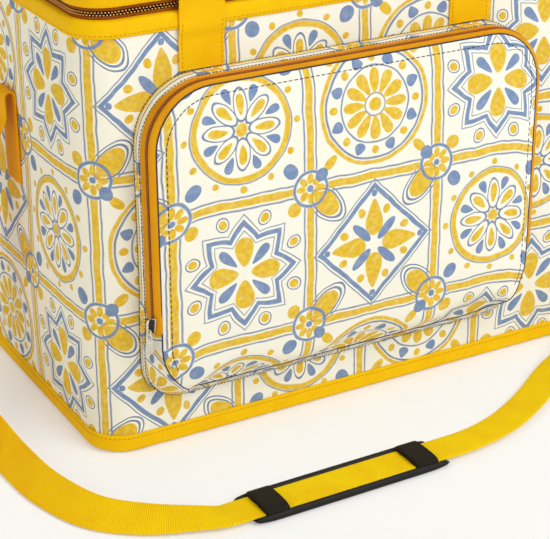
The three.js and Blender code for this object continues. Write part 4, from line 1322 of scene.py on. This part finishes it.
# %% A small pattern
def pattern_of(piece):
    """The corners and faces of a small object, which is then removed."""
    table = corners_of(piece)
    faces = [tuple(face.vertices) for face in piece.data.polygons]
    bpy.data.objects.remove(piece)
    return table, faces


def rounded_bead(length, width, height):
    """A small capsule-like bead, a few dozen faces."""
    clear_selection()
    bpy.ops.mesh.primitive_uv_sphere_add(segments=8, ring_count=5, radius=0.5)
    bead = bpy.context.object
    bpy.ops.transform.resize(value=(length, width, height))
    bpy.ops.object.transform_apply(location=False, rotation=False, scale=True)
    table = corners_of(bead)
    square = np.sign(table) * np.abs(table / [length, width, height] * 2) ** 0.6
    move_corners(bead, square * np.array([length, width, height]) / 2)
    return bead


# %% Copies of it along a run
def copy_along(name, pattern, places, aheads, outs):
    """One mesh of many copies of a pattern; each copy's x points ahead and its z points out."""
    table, faces = pattern
    aheads, outs = unit(np.array(aheads)), unit(np.array(outs))
    besides = np.cross(outs, aheads)
    axes = np.stack([aheads, besides, outs], axis=1)
    corners = (np.einsum("vk,nkc->nvc", table, axes) + np.array(places)[:, None]).reshape(-1, 3)
    all_faces = [
        tuple(corner + copy * len(table) for corner in face)
        for copy in range(len(places)) for face in faces
    ]
    mesh = bpy.data.meshes.new(name)
    mesh.from_pydata(corners.tolist(), [], all_faces)
    piece = bpy.data.objects.new(name, mesh)
    bpy.context.scene.collection.objects.link(piece)
    pick(piece)
    bpy.ops.object.shade_smooth()
    return piece


def along_run(run, stand, start, pitch, out, level):
    """Places, forward directions and outward directions at even steps along a run."""
    distances = np.arange(start, run[0][-1], pitch)
    places = stand(*follow(run, distances, out), level)
    ahead = stand(*follow(run, distances + 0.1 * MM, out), level) - places
    outs = stand(*follow(run, distances, out + 1 * MM), level) - places
    return places, ahead, outs


# %% Zip teeth
def two_shades(name, first, second, per_metre, roughness, detail=3.0, **sockets):
    """A finish that drifts between two shades, in so many patches to a metre; its shader; its place."""
    finish, shader = new_finish(name, roughness, **sockets)
    place, *_ = solid_map(finish.node_tree)
    feed(shader.inputs["Base Color"], mix_colour(grain(place, per_metre, detail), first, second))
    return finish, shader, place


coil_finish, *_ = two_shades("zip_coil", shown(196, 112, 40), shown(152, 76, 20), 500, 0.45)
pale_coil_finish, *_ = two_shades("main_zip_coil", shown(236, 184, 104), shown(212, 148, 66), 500, 0.45)
TOOTH_LENGTH, TOOTH_HEIGHT = 1.4 * MM, 1.6 * MM
POCKET_TEETH = coil_finish, *POCKET_ZIP, POCKET_ZIP_OUT, 1.7, 2
MAIN_TEETH = pale_coil_finish, *MAIN_ZIP, MAIN_ZIP_OUT, 1.1, 2.8
COILS = [
    ("pocket_teeth_rear", "pocket_rear_coil", "bag", *POCKET_TEETH),
    ("pocket_teeth_front", "pocket_front_coil", "pocket_flap", *POCKET_TEETH),
    ("main_teeth_body", "body_zip_coil", "bag", *MAIN_TEETH),
    ("main_teeth_lid", "lid_zip_coil", "lid", *MAIN_TEETH),
]
for name, node, body, finish, run, stand, axis, out, breadth, pitch in COILS:
    low, high = zip_levels(node, axis)
    pitch = pitch * MM
    shift = 0.5 if body == "bag" else 1.0
    tooth = pattern_of(rounded_bead(TOOTH_LENGTH, breadth * MM, TOOTH_HEIGHT))
    steps = along_run(run, stand, shift * pitch, pitch, out * MM, (low + high) / 2 * MM)
    teeth = copy_along(name, tooth, *steps)
    dress(teeth, finish, body)
    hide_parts(node)
print("zip teeth:", [name for name, *_ in COILS])

# %% [markdown]
# ## Carry handles and strap ends
#
# A handle is one length of webbing: sewn flat to the panel, up over the mouth band, round in an arch
# whose lower edge twists outwards for the hand, and down again. The frame cuts it in three so that the
# loop can swing. Here it is one ribbon again, fixed in place on neither body.

# %% Handles
HANDLE_WIDTH = leg_high.x - leg_low.x
HANDLE_HALF = (leg_low.x + leg_high.x) / 2 - FITTINGS_MIDDLE
HANDLE_THICKNESS = 2 * MM
HANDLE_FOOT = leg_low.z
LEG_ON_SHELL = -leg_high.y + HANDLE_THICKNESS / 2
LEG_ON_BAND = -leg_low.y - HANDLE_THICKNESS / 2
BAND_FOOT, BAND_STEP, BAND_GAP = 338 * MM, 8 * MM, 0.6 * MM
HANDLE_PIVOT = 360 * MM
HANDLE_RISE = 134 * MM
HANDLE_STRAIGHT = 40 * MM
HANDLE_TWIST = 0.85
HANDLE_LEAN = 0.1
ARCH_STEPS = 44
STRAIGHT_STEP = 3 * MM


def handle_leg():
    """How far out and how high a leg lies, from its sewn foot, over the mouth band, to the arch."""
    heights = np.arange(HANDLE_FOOT, HANDLE_PIVOT + HANDLE_STRAIGHT, STRAIGHT_STEP)
    over_band = np.clip((heights - BAND_FOOT) / BAND_STEP, 0, 1)
    step_out = over_band**2 * (3 - 2 * over_band)
    outs = LEG_ON_SHELL + (LEG_ON_BAND + BAND_GAP - LEG_ON_SHELL) * step_out
    return outs + HANDLE_LEAN * np.clip(heights - HANDLE_PIVOT, 0, None), heights


def handle_route(side):
    """The route of a handle and the way its width lies, up one leg, round the arch and down the other."""
    outs, heights = handle_leg()
    leg = table_of(-HANDLE_HALF, side * outs, heights)
    angles = np.linspace(math.pi, 0, ARCH_STEPS)
    crown = np.sin(angles)
    rise = HANDLE_STRAIGHT + (HANDLE_RISE - HANDLE_STRAIGHT) * crown
    arch_outs = side * (LEG_ON_BAND + HANDLE_LEAN * rise)
    arch = table_of(HANDLE_HALF * np.cos(angles), arch_outs, HANDLE_PIVOT + rise)
    twist = HANDLE_TWIST * crown
    arch_lie = table_of(-np.cos(angles), side * crown * np.sin(twist), -crown * np.cos(twist))
    left_lie = np.tile([1.0, 0, 0], (len(leg), 1))
    route = np.vstack([leg, arch, leg[::-1] * [-1, 1, 1]]) + [FITTINGS_MIDDLE, 0, 0]
    return route, np.vstack([left_lie, arch_lie, -left_lie])


for side, face in ((-1, "front"), (1, "back")):
    handle = lay_webbing(f"{face}_handle_webbing", *handle_route(side), HANDLE_WIDTH, HANDLE_THICKNESS)
    dress(handle, handle_finish)
    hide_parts(*(f"{face}_handle_{part}" for part in ("leg_left", "leg_right", "loop")))
    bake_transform(handle)
print("handles:", round(lengths_along(handle_route(1)[0])[-1], 3), "m of webbing each")

# %% [markdown]
# The shoulder strap hangs from a short end of webbing on each side panel. The end is sewn flat to the
# panel, folds over at its top in a half circle, and comes down to where the strap begins. Its route is a
# straight stretch and an arc, laid as the handles are. Its colour is a deeper gold and orange, which is
# painted shade for the shadow in and under the fold, as at the start of the strap.

# %% Sewn ends of the strap
ANCHOR_LAYER = HALF_WIDTH + SEAM + STRAP_THICKNESS / 2
FOLD_RADIUS = (STRAP_HANG - ANCHOR_LAYER) / 2
FOLD_CENTRE = anchor_high.z - STRAP_THICKNESS / 2 - FOLD_RADIUS
# Deeper gold and orange: painted shade for the shadow in and under the fold.
anchor_painted_shade_finish = woven_finish(
    "anchor_webbing_painted_shade", shown(249, 182, 0), shown(236, 148, 0), rib=1.2 * MM, yarn=1.0 * MM, depth=0.2 * MM,
)


def anchor_route(side):
    """Up the side panel, over the fold, and down to the strap."""
    sewn = [(ANCHOR_LAYER, height) for height in np.arange(anchor_low.z, FOLD_CENTRE, STRAIGHT_STEP)]
    turn = np.linspace(math.pi, 0, 15)
    middle = ANCHOR_LAYER + FOLD_RADIUS
    fold = [(middle + FOLD_RADIUS * math.cos(a), FOLD_CENTRE + FOLD_RADIUS * math.sin(a)) for a in turn]
    outs, heights = np.array(sewn + fold + [(STRAP_HANG, STRAP_TOP + 2.5 * MM), (STRAP_HANG, STRAP_TOP)]).T
    return table_of(side * outs, 0.0, heights)


for side, hand in ((-1, "left"), (1, "right")):
    route = anchor_route(side)
    lie = np.tile([0.0, 1.0, 0.0], (len(route), 1))
    anchor = lay_webbing(f"strap_end_{hand}", route, lie, STRAP_WIDTH, STRAP_THICKNESS)
    dress(anchor, anchor_painted_shade_finish, "bag")
    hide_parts(f"strap_anchor_{hand}")
print("strap ends: folded at", round(FOLD_CENTRE / MM, 1), "mm")

# %% [markdown]
# ## The shoulder pad
#
# The pad is moulded rubber: a flat sole with a round rail along each edge that runs out to a point, and
# two keeper bands that hold the strap down. The sole and rails are one section that shrinks towards
# the ends, so they are lofted as a closed sheet. A keeper is a flat band that is bent over the strap:
# its section runs across the pad, so it is swept for a short way along it. The rubber is nearly black,
# and not quite even: fine grain stands up as a bump, and broad patches are a shade lighter.

# %% Rubber finish
rubber_finish, rubber_shader, place = two_shades(
    "moulded_rubber", shown(8, 7, 6), shown(22, 20, 16), 220, 0.55, detail=4.0, gloss=0.25,
)
emboss(rubber_shader, grain(place, 1500, 3.0), 0.25 * MM)
band_finish = woven_finish(
    "keeper_band", shown(40, 36, 28), shown(14, 13, 11), rib=1.2 * MM, yarn=0.9 * MM, depth=0.2 * MM,
)

print("pad finishes:", rubber_finish.name, "and", band_finish.name)


def place_on_pad(along, across, height):
    """From the pad's own directions, in metres, to the frame."""
    x = PAD_CENTRE.x + along * math.cos(PAD_TURN) - across * math.sin(PAD_TURN)
    y = PAD_CENTRE.y + along * math.sin(PAD_TURN) + across * math.cos(PAD_TURN)
    return table_of(x, y, height)


# %% Sole and rails
PAD_LENGTH = 176 * MM
RAIL_CENTRE = 17.9 * MM
SOLE_TOP = 3.2 * MM
RAIL_HEIGHT = 3.25 * MM
PAD_TAPER = 24 * MM
THIN_SOLE = 1.5 * MM
SOLE_EDGE = 14 * MM
sole_top, sole_foot = SOLE_TOP / MM, 0.05
rail_turn = np.radians(np.linspace(200, -70, 12))
rail = [(RAIL_CENTRE / MM + 2.8 * math.cos(a), RAIL_HEIGHT / MM + 3.2 * math.sin(a)) for a in rail_turn]
half_pad = [(0, sole_top), (8, sole_top), (14.6, sole_top), *rail, (8, sole_foot), (0, sole_foot)]
PAD_SECTION = half_pad + [(-across, height) for across, height in half_pad[-2:0:-1]]


def pad_place(u, v):
    """Towards the ends each rail shrinks about its own middle and the sole between them grows thin."""
    section = np.array(PAD_SECTION + PAD_SECTION[:1]) * MM
    across, height = section[line_at(v, len(section) - 1)].T
    along = (u - 0.5) * PAD_LENGTH
    to_end = np.clip((PAD_LENGTH / 2 - abs(along)) / PAD_TAPER, 0, 1)
    taper = 0.1 + 0.9 * np.sqrt(1 - (1 - to_end) ** 2)
    on_rail = abs(across) > SOLE_EDGE
    middle = np.sign(across) * RAIL_CENTRE
    across = np.where(on_rail, middle + (across - middle) * taper, across)
    rail_height = RAIL_HEIGHT + (height - RAIL_HEIGHT) * taper
    height = np.where(on_rail, rail_height, height * taper + THIN_SOLE * (1 - taper))
    return place_on_pad(along, across, height)


def pad_cloth(u, v):
    return table_of(u * PAD_LENGTH, v * 0.1)


pad_sole = close_sheet(wrap_sheet("pad_sole", 72, len(PAD_SECTION), pad_place, pad_cloth))
dress(pad_sole, rubber_finish, "shoulder_pad")
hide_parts("pad_base")
print("pad: sole", len(pad_sole.data.polygons), "faces")

# %% Keeper bands
KEEPER_LENGTH = 21 * MM
KEEPER_AT = 68 * MM
KEEPER_OUTSIDE = [(17.6, 3.0), (18.2, 5.4), (17.9, 7.4), (16.4, 8.9), (13.4, 9.6), (7, 9.9), (0, 10)]
KEEPER_INSIDE = [(15.6, 3.0), (15.9, 5.2), (15.5, 6.6), (14.4, 7.1), (12, 7.4), (6, 7.5), (0, 7.5)]


def mirrored(half):
    """A whole line over the strap, from the half of it that ends in the middle."""
    return [(-across, height) for across, height in half] + half[-2::-1]


KEEPER_SECTION = mirrored(KEEPER_OUTSIDE) + mirrored(KEEPER_INSIDE)[::-1]
for hand, side in (("left", -1), ("right", 1)):
    centre = side * KEEPER_AT
    keeper_run = straight_run((centre - KEEPER_LENGTH / 2, 0), (centre + KEEPER_LENGTH / 2, 0))
    keeper = sweep_band(f"pad_band_{hand}", keeper_run, KEEPER_SECTION, place_on_pad, step=1.9 * MM)
    dress(keeper, band_finish, "shoulder_pad")
    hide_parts(f"pad_keeper_{hand}")
print("keepers:", round(KEEPER_LENGTH / MM), "mm wide bands")

# %% [markdown]
# ## Zip sliders and pulls
#
# A slider is a small nickel casting: a wedge-shaped body, wider where the two rows of teeth come in,
# with a bridge over it for the pull. The body is a cube: one end is narrowed, the top is inset and
# raised, and a bevel rounds the edges. The pull is a flat tab; inset and bridge cut the eye in it. The
# pocket's slider sits on the side of the pocket: it leans a little towards the front, and its pull
# twists towards its foot. Nickel isn't one even grey: its tone and its polish both drift a little.

# %% Metal finish and shaping helpers
# The raised top of each slider under its bridge is painted dark: a painted shadow of the gap there.
bridge_shadow_finish, bridge_shadow_shader = new_finish("painted_bridge_shadow", 0.6)
bridge_shadow_shader.inputs["Base Color"].default_value = shown(34, 30, 26)
metal_finish, metal_shader, place = two_shades(
    "bright_nickel", shown(224, 221, 212), shown(204, 200, 190), 120, 0.26, metallic=1.0,
)
feed(metal_shader.inputs["Roughness"], ramp(grain(place, 300, 2.0), 0.3, 0.7, 0.24, 0.32))


print("metal:", metal_finish.name)


def add_block(name, size):
    """A cube that is stretched to its size, with the stretch in its mesh."""
    clear_selection()
    bpy.ops.mesh.primitive_cube_add(size=1)
    block = bpy.context.object
    block.name = block.data.name = name
    block.scale = size
    bpy.ops.object.transform_apply(location=False, rotation=False, scale=True)
    return block


def select_faces(piece, chosen):
    """In edit mode, selects the faces whose middle and normal the test accepts."""
    bpy.context.view_layer.objects.active = piece
    bpy.ops.object.mode_set(mode="EDIT")
    bpy.ops.mesh.select_mode(type="FACE")
    bpy.ops.mesh.select_all(action="DESELECT")
    bpy.ops.object.mode_set(mode="OBJECT")
    for face in piece.data.polygons:
        face.select = chosen(face.center, face.normal)
    bpy.ops.object.mode_set(mode="EDIT")


def finish_casting(piece, bevel):
    """Leaves edit mode, rounds the sharp edges and shades the rest smooth."""
    bpy.ops.object.mode_set(mode="OBJECT")
    apply_modifier(piece, "BEVEL", width=bevel, segments=3, limit_method="ANGLE")
    smooth(piece, 50)
    return piece


# %% Slider body and bridge
SLIDER_LENGTH, SLIDER_WIDTH, SLIDER_THICKNESS = 12 * MM, 9 * MM, 1.8 * MM
SLIDER_NOSE = 0.7
SLIDER_INSET, SLIDER_STEP = 2.6 * MM, 0.3 * MM
BRIDGE_CROWN = 6.9 * MM
BRIDGE_HALF = 5.6 * MM
BRIDGE_WIDTH, BRIDGE_THICKNESS = 1.7 * MM, 1.1 * MM
BRIDGE_STEPS = 13


def cast_slider(name):
    """Lies on the teeth: it runs along y and its bridge stands up in z."""
    body = add_block(name, (SLIDER_WIDTH, SLIDER_LENGTH, SLIDER_THICKNESS))
    table = corners_of(body)
    table[:, 2] += SLIDER_THICKNESS / 2
    table[:, 0] *= np.where(table[:, 1] < 0, SLIDER_NOSE, 1.0)
    move_corners(body, table)
    select_faces(body, lambda centre, normal: normal.z > 0.9)
    bpy.ops.mesh.inset(thickness=SLIDER_INSET, depth=0.0)
    bpy.ops.transform.translate(value=(0, 0, SLIDER_STEP))
    finish_casting(body, 0.5 * MM)
    turn = np.linspace(math.pi, 0, BRIDGE_STEPS)
    root = SLIDER_THICKNESS * 0.7
    rise = BRIDGE_CROWN - 0.7 * MM - root
    reach = BRIDGE_HALF * np.sign(np.cos(turn)) * np.abs(np.cos(turn)) ** 0.6
    bow = table_of(0.0, reach, root + rise * np.sin(turn) ** 0.6)
    across = np.tile([1.0, 0, 0], (BRIDGE_STEPS, 1))
    bridge = lay_webbing(name + "_bridge", bow, across, BRIDGE_WIDTH, BRIDGE_THICKNESS)
    pick(body)
    bridge.select_set(True)
    bpy.ops.object.join()
    return body


print("slider:", round(SLIDER_LENGTH / MM), "by", round(SLIDER_WIDTH / MM), "mm")

# %% Pull
PULL_LENGTH, PULL_WIDTH, PULL_THICKNESS = 21.5 * MM, 7 * MM, 1.1 * MM
PULL_AXIS = 4.1 * MM
PULL_SLANT = 0.2
PULL_HEAD = 0.8 * MM
EYE_FOOT, EYE_RIM = -9.5 * MM, 1.1 * MM


def turn_along(table, degrees, level=0.0):
    """Turns points about a line along y at the given level."""
    cosine, sine = np.cos(np.radians(degrees)), np.sin(np.radians(degrees))
    x, y, z = (table - [0, 0, level]).T
    return table_of(x * cosine + z * sine, y, level + z * cosine - x * sine)


def cut_pull(name, twist):
    """A tab that hangs along -y from its crossbar at y = 0, widens and may twist towards its foot."""
    tab = add_block(name, (PULL_WIDTH, PULL_LENGTH, PULL_THICKNESS))
    table = corners_of(tab)
    table[:, 1] += PULL_HEAD - PULL_LENGTH / 2
    table[:, 2] += PULL_AXIS
    move_corners(tab, table)
    bpy.ops.object.mode_set(mode="EDIT")
    bpy.ops.mesh.select_all(action="SELECT")
    bpy.ops.mesh.bisect(plane_co=(0, EYE_FOOT, 0), plane_no=(0, 1, 0))
    bpy.ops.object.mode_set(mode="OBJECT")
    select_faces(tab, lambda centre, normal: abs(normal.z) > 0.9 and centre.y > EYE_FOOT)
    bpy.ops.mesh.inset(thickness=EYE_RIM, depth=0.0)
    bpy.ops.mesh.bridge_edge_loops()
    bpy.ops.object.mode_set(mode="OBJECT")
    table = corners_of(tab)
    down = np.clip(-table[:, 1] / PULL_LENGTH, 0, 1)
    table[:, 0] *= 0.8 + 0.4 * down
    table[:, 1] += PULL_SLANT * table[:, 0] * (down > 0.8)
    move_corners(tab, turn_along(table, twist * down, PULL_AXIS))
    return finish_casting(tab, 0.3 * MM)


print("pull:", round(PULL_LENGTH / MM, 1), "mm long")


# %% Seat the sliders
def seat(piece, place, along, out):
    """Moves a casting from where it was made to its place, with its y and z turned to along and out."""
    along, out = np.array(along, float), np.array(out, float)
    axes = np.stack([np.cross(along, out), along, out])
    move_corners(piece, corners_of(piece) @ axes + np.array(place))


POCKET_TURN, POCKET_TWIST = 30, 50  # degrees
POCKET_RISE, POCKET_SHIFT = 3 * MM, 2.6 * MM
POCKET_LIFT = PULL_AXIS / math.cos(math.radians(POCKET_TURN)) - PULL_AXIS
SLIDERS = [("main_slider_left", "main_pull_left", (1, 0, 0), (0, -1, 0)),
           ("main_slider_right", "main_pull_right", (-1, 0, 0), (0, -1, 0)),
           ("pocket_slider", "pocket_pull", (0, 0, 1), (-1, 0, 0))]
for slider_node, pull_node, along, out in SLIDERS:
    low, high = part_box(slider_node)
    middle = (low + high) / 2
    spot = [base if lean < 0 else centre for base, centre, lean in zip(high, middle, out)]
    leans = slider_node == "pocket_slider"
    slider = cast_slider(slider_node + "_casting")
    pull = cut_pull(pull_node + "_tab", POCKET_TWIST if leans else 0)
    # These faces, under the bridge, get the painted shadow.
    bridge_shadow_faces = [face.index for face in slider.data.polygons
              if face.normal.z > 0.9 and abs(face.center.z - SLIDER_THICKNESS) < 0.4 * MM]
    if leans:
        turned = turn_along(corners_of(slider) + [0, POCKET_RISE, POCKET_LIFT], POCKET_TURN)
        move_corners(slider, turned + [POCKET_SHIFT, 0, 0])
        aside = PULL_AXIS * math.tan(math.radians(POCKET_TURN)) + POCKET_SHIFT
        move_corners(pull, corners_of(pull) + [aside, 0, 0])
    for piece, node in ((slider, slider_node), (pull, pull_node)):
        seat(piece, spot, along, out)
        dress(piece, metal_finish, node)
        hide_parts(node)
    slider.data.materials.append(bridge_shadow_finish)
    for index in bridge_shadow_faces:
        slider.data.polygons[index].material_index = 1
print("sliders:", [slider for slider, *_ in SLIDERS])

# %% [markdown]
# ## Seams and stitches
#
# Stitches tell the eye that cloth is sewn and not moulded. They could be painted into the materials,
# but a painted thread has no thickness and smears round corners. So one stitch is modelled as a small
# bead, and copied along every seam: navy thread on the pocket, gold thread on webbing and tape.

# %% Thread
def sew(name, rows, finish, body=None, length=2.4 * MM, width=0.75 * MM):
    """Copies one stitch along rows, each given as places, forward directions and outward directions."""
    stitch = pattern_of(rounded_bead(length, width, width * 0.8))
    seam = copy_along(name, stitch, *(np.vstack(parts) for parts in zip(*rows)))
    print(name, "has", sum(len(row[0]) for row in rows), "stitches")
    return dress(seam, finish, body)


navy_thread, *_ = two_shades("navy_thread", shown(64, 68, 96), shown(30, 34, 60), 900, 0.7, gloss=0.2)
gold_thread, *_ = two_shades("gold_thread", shown(226, 166, 14), shown(198, 136, 4), 900, 0.7, gloss=0.2)
print("threads:", navy_thread.name, "and", gold_thread.name)


# %% Seam, and painted shadow, between the face and its tape
def on_face(run, steps, inset, raised):
    """Places along a run of the face, so far inside it and so far above its surface."""
    x, z = follow(run, steps, -inset)
    return stand_on_pocket(x, z, face_level(x, z) + raised)


rim_steps = np.linspace(0, FACE_RUN[0][-1], 420)
rim_x, rim_z = follow(FACE_RUN, rim_steps, 0.0)
rim_level = face_level(rim_x, rim_z)
rim_route = stand_on_pocket(rim_x, rim_z, rim_level)
rim_across = stand_on_pocket(*follow(FACE_RUN, rim_steps, 1 * MM), rim_level) - rim_route
# A navy cord round the rim of the face: partly its seam, partly painted shadow of the gap between the face
# and its tape.
rim_cord_and_shadow = lay_webbing("pocket_rim_cord_and_painted_shadow", rim_route, rim_across, 1.0 * MM, 0.9 * MM)
dress(rim_cord_and_shadow, navy_thread)

BELOW_FOLD = 40 * MM
FACE_PITCH = 4.8 * MM
side_steps = np.arange(FACE_PITCH / 2, BELOW_FOLD, FACE_PITCH)
head_steps = np.arange(0, FACE_ZIP_RUN[0][-1], FACE_PITCH)


def stitch_places(ahead):
    """Stitches over the head of the face, and a little way down each side below the fold."""
    far = FACE_FOOT_RUN[0][-1]
    rows = [(FACE_ZIP_RUN, head_steps), (FACE_FOOT_RUN, side_steps), (FACE_FOOT_RUN, far - side_steps)]
    return np.vstack([on_face(run, steps + ahead, STITCH_INSET, 0.15 * MM) for run, steps in rows])


stitch_place = [stitch_places(ahead) for ahead in (0.0, 0.1 * MM)]
stitch_out = np.tile([0.0, -1.0, 0.0], (len(stitch_place[0]), 1))
face_seam = sew("pocket_face_stitches", [(stitch_place[0], stitch_place[1] - stitch_place[0], stitch_out)],
                navy_thread, length=3.5 * MM)
for seam in (rim_cord_and_shadow, face_seam):
    hang_on_fold(seam)

# %% Seams on the strip, the bindings and the bands
STRIP_PITCH, TAPE_PITCH = 3 * MM, 3.6 * MM


def strip_row(v):
    """Stitches along one line of the strip, given by its share v of the section."""
    steps = np.arange(0, STRIP_LENGTH, STRIP_PITCH) / STRIP_LENGTH
    places = strip_place(steps, np.full_like(steps, v))
    outs = places - strip_place(steps, np.full_like(steps, 1 - 1 / STRIP_ROWS))
    return places, strip_place(steps + 1e-4, np.full_like(steps, v)) - places, outs


strip_rows = [strip_row(line / STRIP_ROWS) for line in (1, 5)]
sew("pocket_strip_stitches", strip_rows, navy_thread, "bag")
bag_rows = [along_run(BAG_RUN, stand_on_bag, 0, TAPE_PITCH, out * MM, level * MM)
            for out, level in ((2.1, 13.6), (2.2, 349.2))]
sew("binding_stitches", bag_rows, gold_thread, "bag")
lid_row = along_run(FRONT_RUN, stand_on_bag, 0, TAPE_PITCH, 0.85 * MM, 385.8 * MM)
sew("lid_stitches", [lid_row], gold_thread, "lid")


# %% Seams on the webbing
LEG_MARGIN = 2.4 * MM
LEG_SEWN_TOP = 352 * MM


def leg_rows(side):
    """Stitches up both edges of both legs of a handle, as far as the mouth band."""
    outs, heights = handle_leg()
    heights_sewn = np.arange(HANDLE_FOOT + 3 * MM, LEG_SEWN_TOP, TAPE_PITCH)
    outs_sewn = np.interp(heights_sewn, heights, outs) + HANDLE_THICKNESS / 2
    climb = np.gradient(outs_sewn, heights_sewn)
    up, out = table_of(0.0, side * climb, 1.0), table_of(np.zeros_like(climb), side, 0.0)
    rows = []
    for leg in (-HANDLE_HALF, HANDLE_HALF):
        for edge in (LEG_MARGIN - HANDLE_WIDTH / 2, HANDLE_WIDTH / 2 - LEG_MARGIN):
            places = table_of(FITTINGS_MIDDLE + leg + edge, side * outs_sewn, heights_sewn)
            rows.append((places, up, out))
    return rows


sew("handle_stitches", leg_rows(-1) + leg_rows(1), gold_thread, "bag")


def anchor_row(side, height):
    """Stitches across the end of the strap on one side, at a height."""
    across = np.arange(-12.5, 12.6, 3.6) * MM
    flat = np.zeros_like(across)
    places = table_of(side * (ANCHOR_LAYER + STRAP_THICKNESS / 2), across, height)
    return places, table_of(flat, 1.0, 0.0), table_of(side, flat, 0.0)


anchor_heights = [anchor_low.z + rise * MM for rise in (4, 9)]
sew("anchor_stitches", [anchor_row(side, height) for side in (-1, 1) for height in anchor_heights],
    gold_thread, "bag")

# %% [markdown]
# ## What the open lid shows
#
# Under the lid there is silver film over white foam, and a stiff board under the floor. Their shapes in
# the frame are right as they are, flat sheets, so they stay and only get finishes. These are worked out
# from the place in the frame, because the frame's solids carry no cloth map.

# %% Foam, film and board
def speckled(name, bright, deep, per_metre, roughness, depth, metallic=0.0, gloss=0.3):
    """A finish of two shades in cloudy patches, raised where it is bright."""
    finish, shader = new_finish(name, roughness, metallic, gloss)
    place, *_ = solid_map(finish.node_tree)
    cloud = grain(place, per_metre, 5.0)
    feed(shader.inputs["Base Color"], mix_colour(ramp(cloud, 0.3, 0.7), deep, bright))
    emboss(shader, cloud, depth)
    return finish


foam_finish = speckled("closed_foam", shown(244, 243, 238), shown(226, 224, 216), 700, 0.85, 0.4 * MM)
film_finish = speckled(
    "silver_film", shown(222, 224, 226), shown(186, 189, 193), 38, 0.34, 6 * MM, metallic=0.85, gloss=0.5,
)
board_finish = speckled("stiff_board", shown(92, 84, 74), shown(64, 58, 50), 420, 0.8, 0.3 * MM)
INSIDES = {f"{side}_foam": foam_finish for side in ("base", "front", "back", "left", "right", "lid")}
INSIDES.update(base_board=board_finish, inner_liner=film_finish, lid_liner=film_finish)
for node, finish in INSIDES.items():
    solid = bpy.data.objects[node]
    solid.data.materials.clear()
    solid.data.materials.append(finish)
print("insides:", list(INSIDES))

# %% [markdown]
# ## Floor and light
#
# The bag stands on white, in the flat, bright light of a product picture. The floor is a large plane
# that takes the shadow. It is lifted towards white only where the camera or a reflection sees it: by a
# third near the bag, and all the way further off, so that no horizon shows. The world behind it is white
# there too, and softer where it lights the bag. Large soft lamps stand in for the studio's: a key in
# front on the right, a rim lamp behind, and a weaker, warmer fill on the left, so that the side panel is
# a shade darker than the front.

# %% White floor and world
FLOOR_SIZE = 12
FLOOR_LIFT = 0.3
FLOOR_FADE = 0.35, 1.3  # in metres from the middle
WORLD_LIGHT = 0.47


def white_where_seen(tree, lit):
    """1 for rays from the camera, a reflection or glass, and the given strength for light rays."""
    path = add_node(tree, "ShaderNodeLightPath")
    kinds = ("Is Camera Ray", "Is Glossy Ray", "Is Transmission Ray")
    rays = [Value(path.outputs[kind]) for kind in kinds]
    return largest(rays) * (1.0 - lit) + lit


world = bpy.data.worlds.new("studio")
world.use_nodes = True
bpy.context.scene.world = world
backdrop = world.node_tree.nodes["Background"]
backdrop.inputs["Color"].default_value = (1, 1, 1, 1)
feed(backdrop.inputs["Strength"], white_where_seen(world.node_tree, WORLD_LIGHT))

clear_selection()
bpy.ops.mesh.primitive_plane_add(size=FLOOR_SIZE)
floor = bpy.context.object
floor.name = "floor"
floor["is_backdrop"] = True
floor_finish, floor_shader = new_finish("white_floor", 0.9, gloss=0.1)
floor_shader.inputs["Base Color"].default_value = shown(255, 255, 255)
floor.data.materials.append(floor_finish)
floor_tree = floor_finish.node_tree
glow = add_node(floor_tree, "ShaderNodeEmission")
lightened = add_node(floor_tree, "ShaderNodeMixShader")
_, x, y, _ = solid_map(floor_tree)
away = calculate("SQRT", x * x + y * y)
lift = ramp(away, *FLOOR_FADE, FLOOR_LIFT, 1.0)
feed(lightened.inputs[0], white_where_seen(floor_tree, 0.0) * lift)
for shader, socket in ((floor_shader, lightened.inputs[1]), (glow, lightened.inputs[2])):
    floor_tree.links.new(shader.outputs[0], socket)
floor_tree.links.new(lightened.outputs[0], floor_tree.nodes["Material Output"].inputs["Surface"])
print("floor: lifted towards white by", FLOOR_LIFT)


# %% Lamps
LAMPS_FACE = Vector((0, 0, 0.2))


def hang_lamp(name, place, size, energy, colour=(1.0, 1.0, 1.0)):
    """A large square lamp that faces the bag."""
    lamp = bpy.data.objects.new(name, bpy.data.lights.new(name, "AREA"))
    lamp.data.size = size
    lamp.data.energy = energy
    lamp.data.color = colour
    lamp.location = place
    lamp.rotation_euler = (LAMPS_FACE - Vector(place)).to_track_quat("-Z", "Y").to_euler()
    bpy.context.scene.collection.objects.link(lamp)


hang_lamp("key", (1.2, -2.6, 2.6), size=2.4, energy=76, colour=(0.97, 0.99, 1.0))
hang_lamp("fill", (-2.8, -1.2, 1.8), size=2.0, energy=19, colour=(1.0, 0.84, 0.45))
hang_lamp("rim", (0.6, 2.4, 2.6), size=2.4, energy=30)
bpy.context.scene.view_settings.view_transform = "Standard"
print("lamps: key, fill and rim")

# %% Sizes of what is shown
low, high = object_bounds()
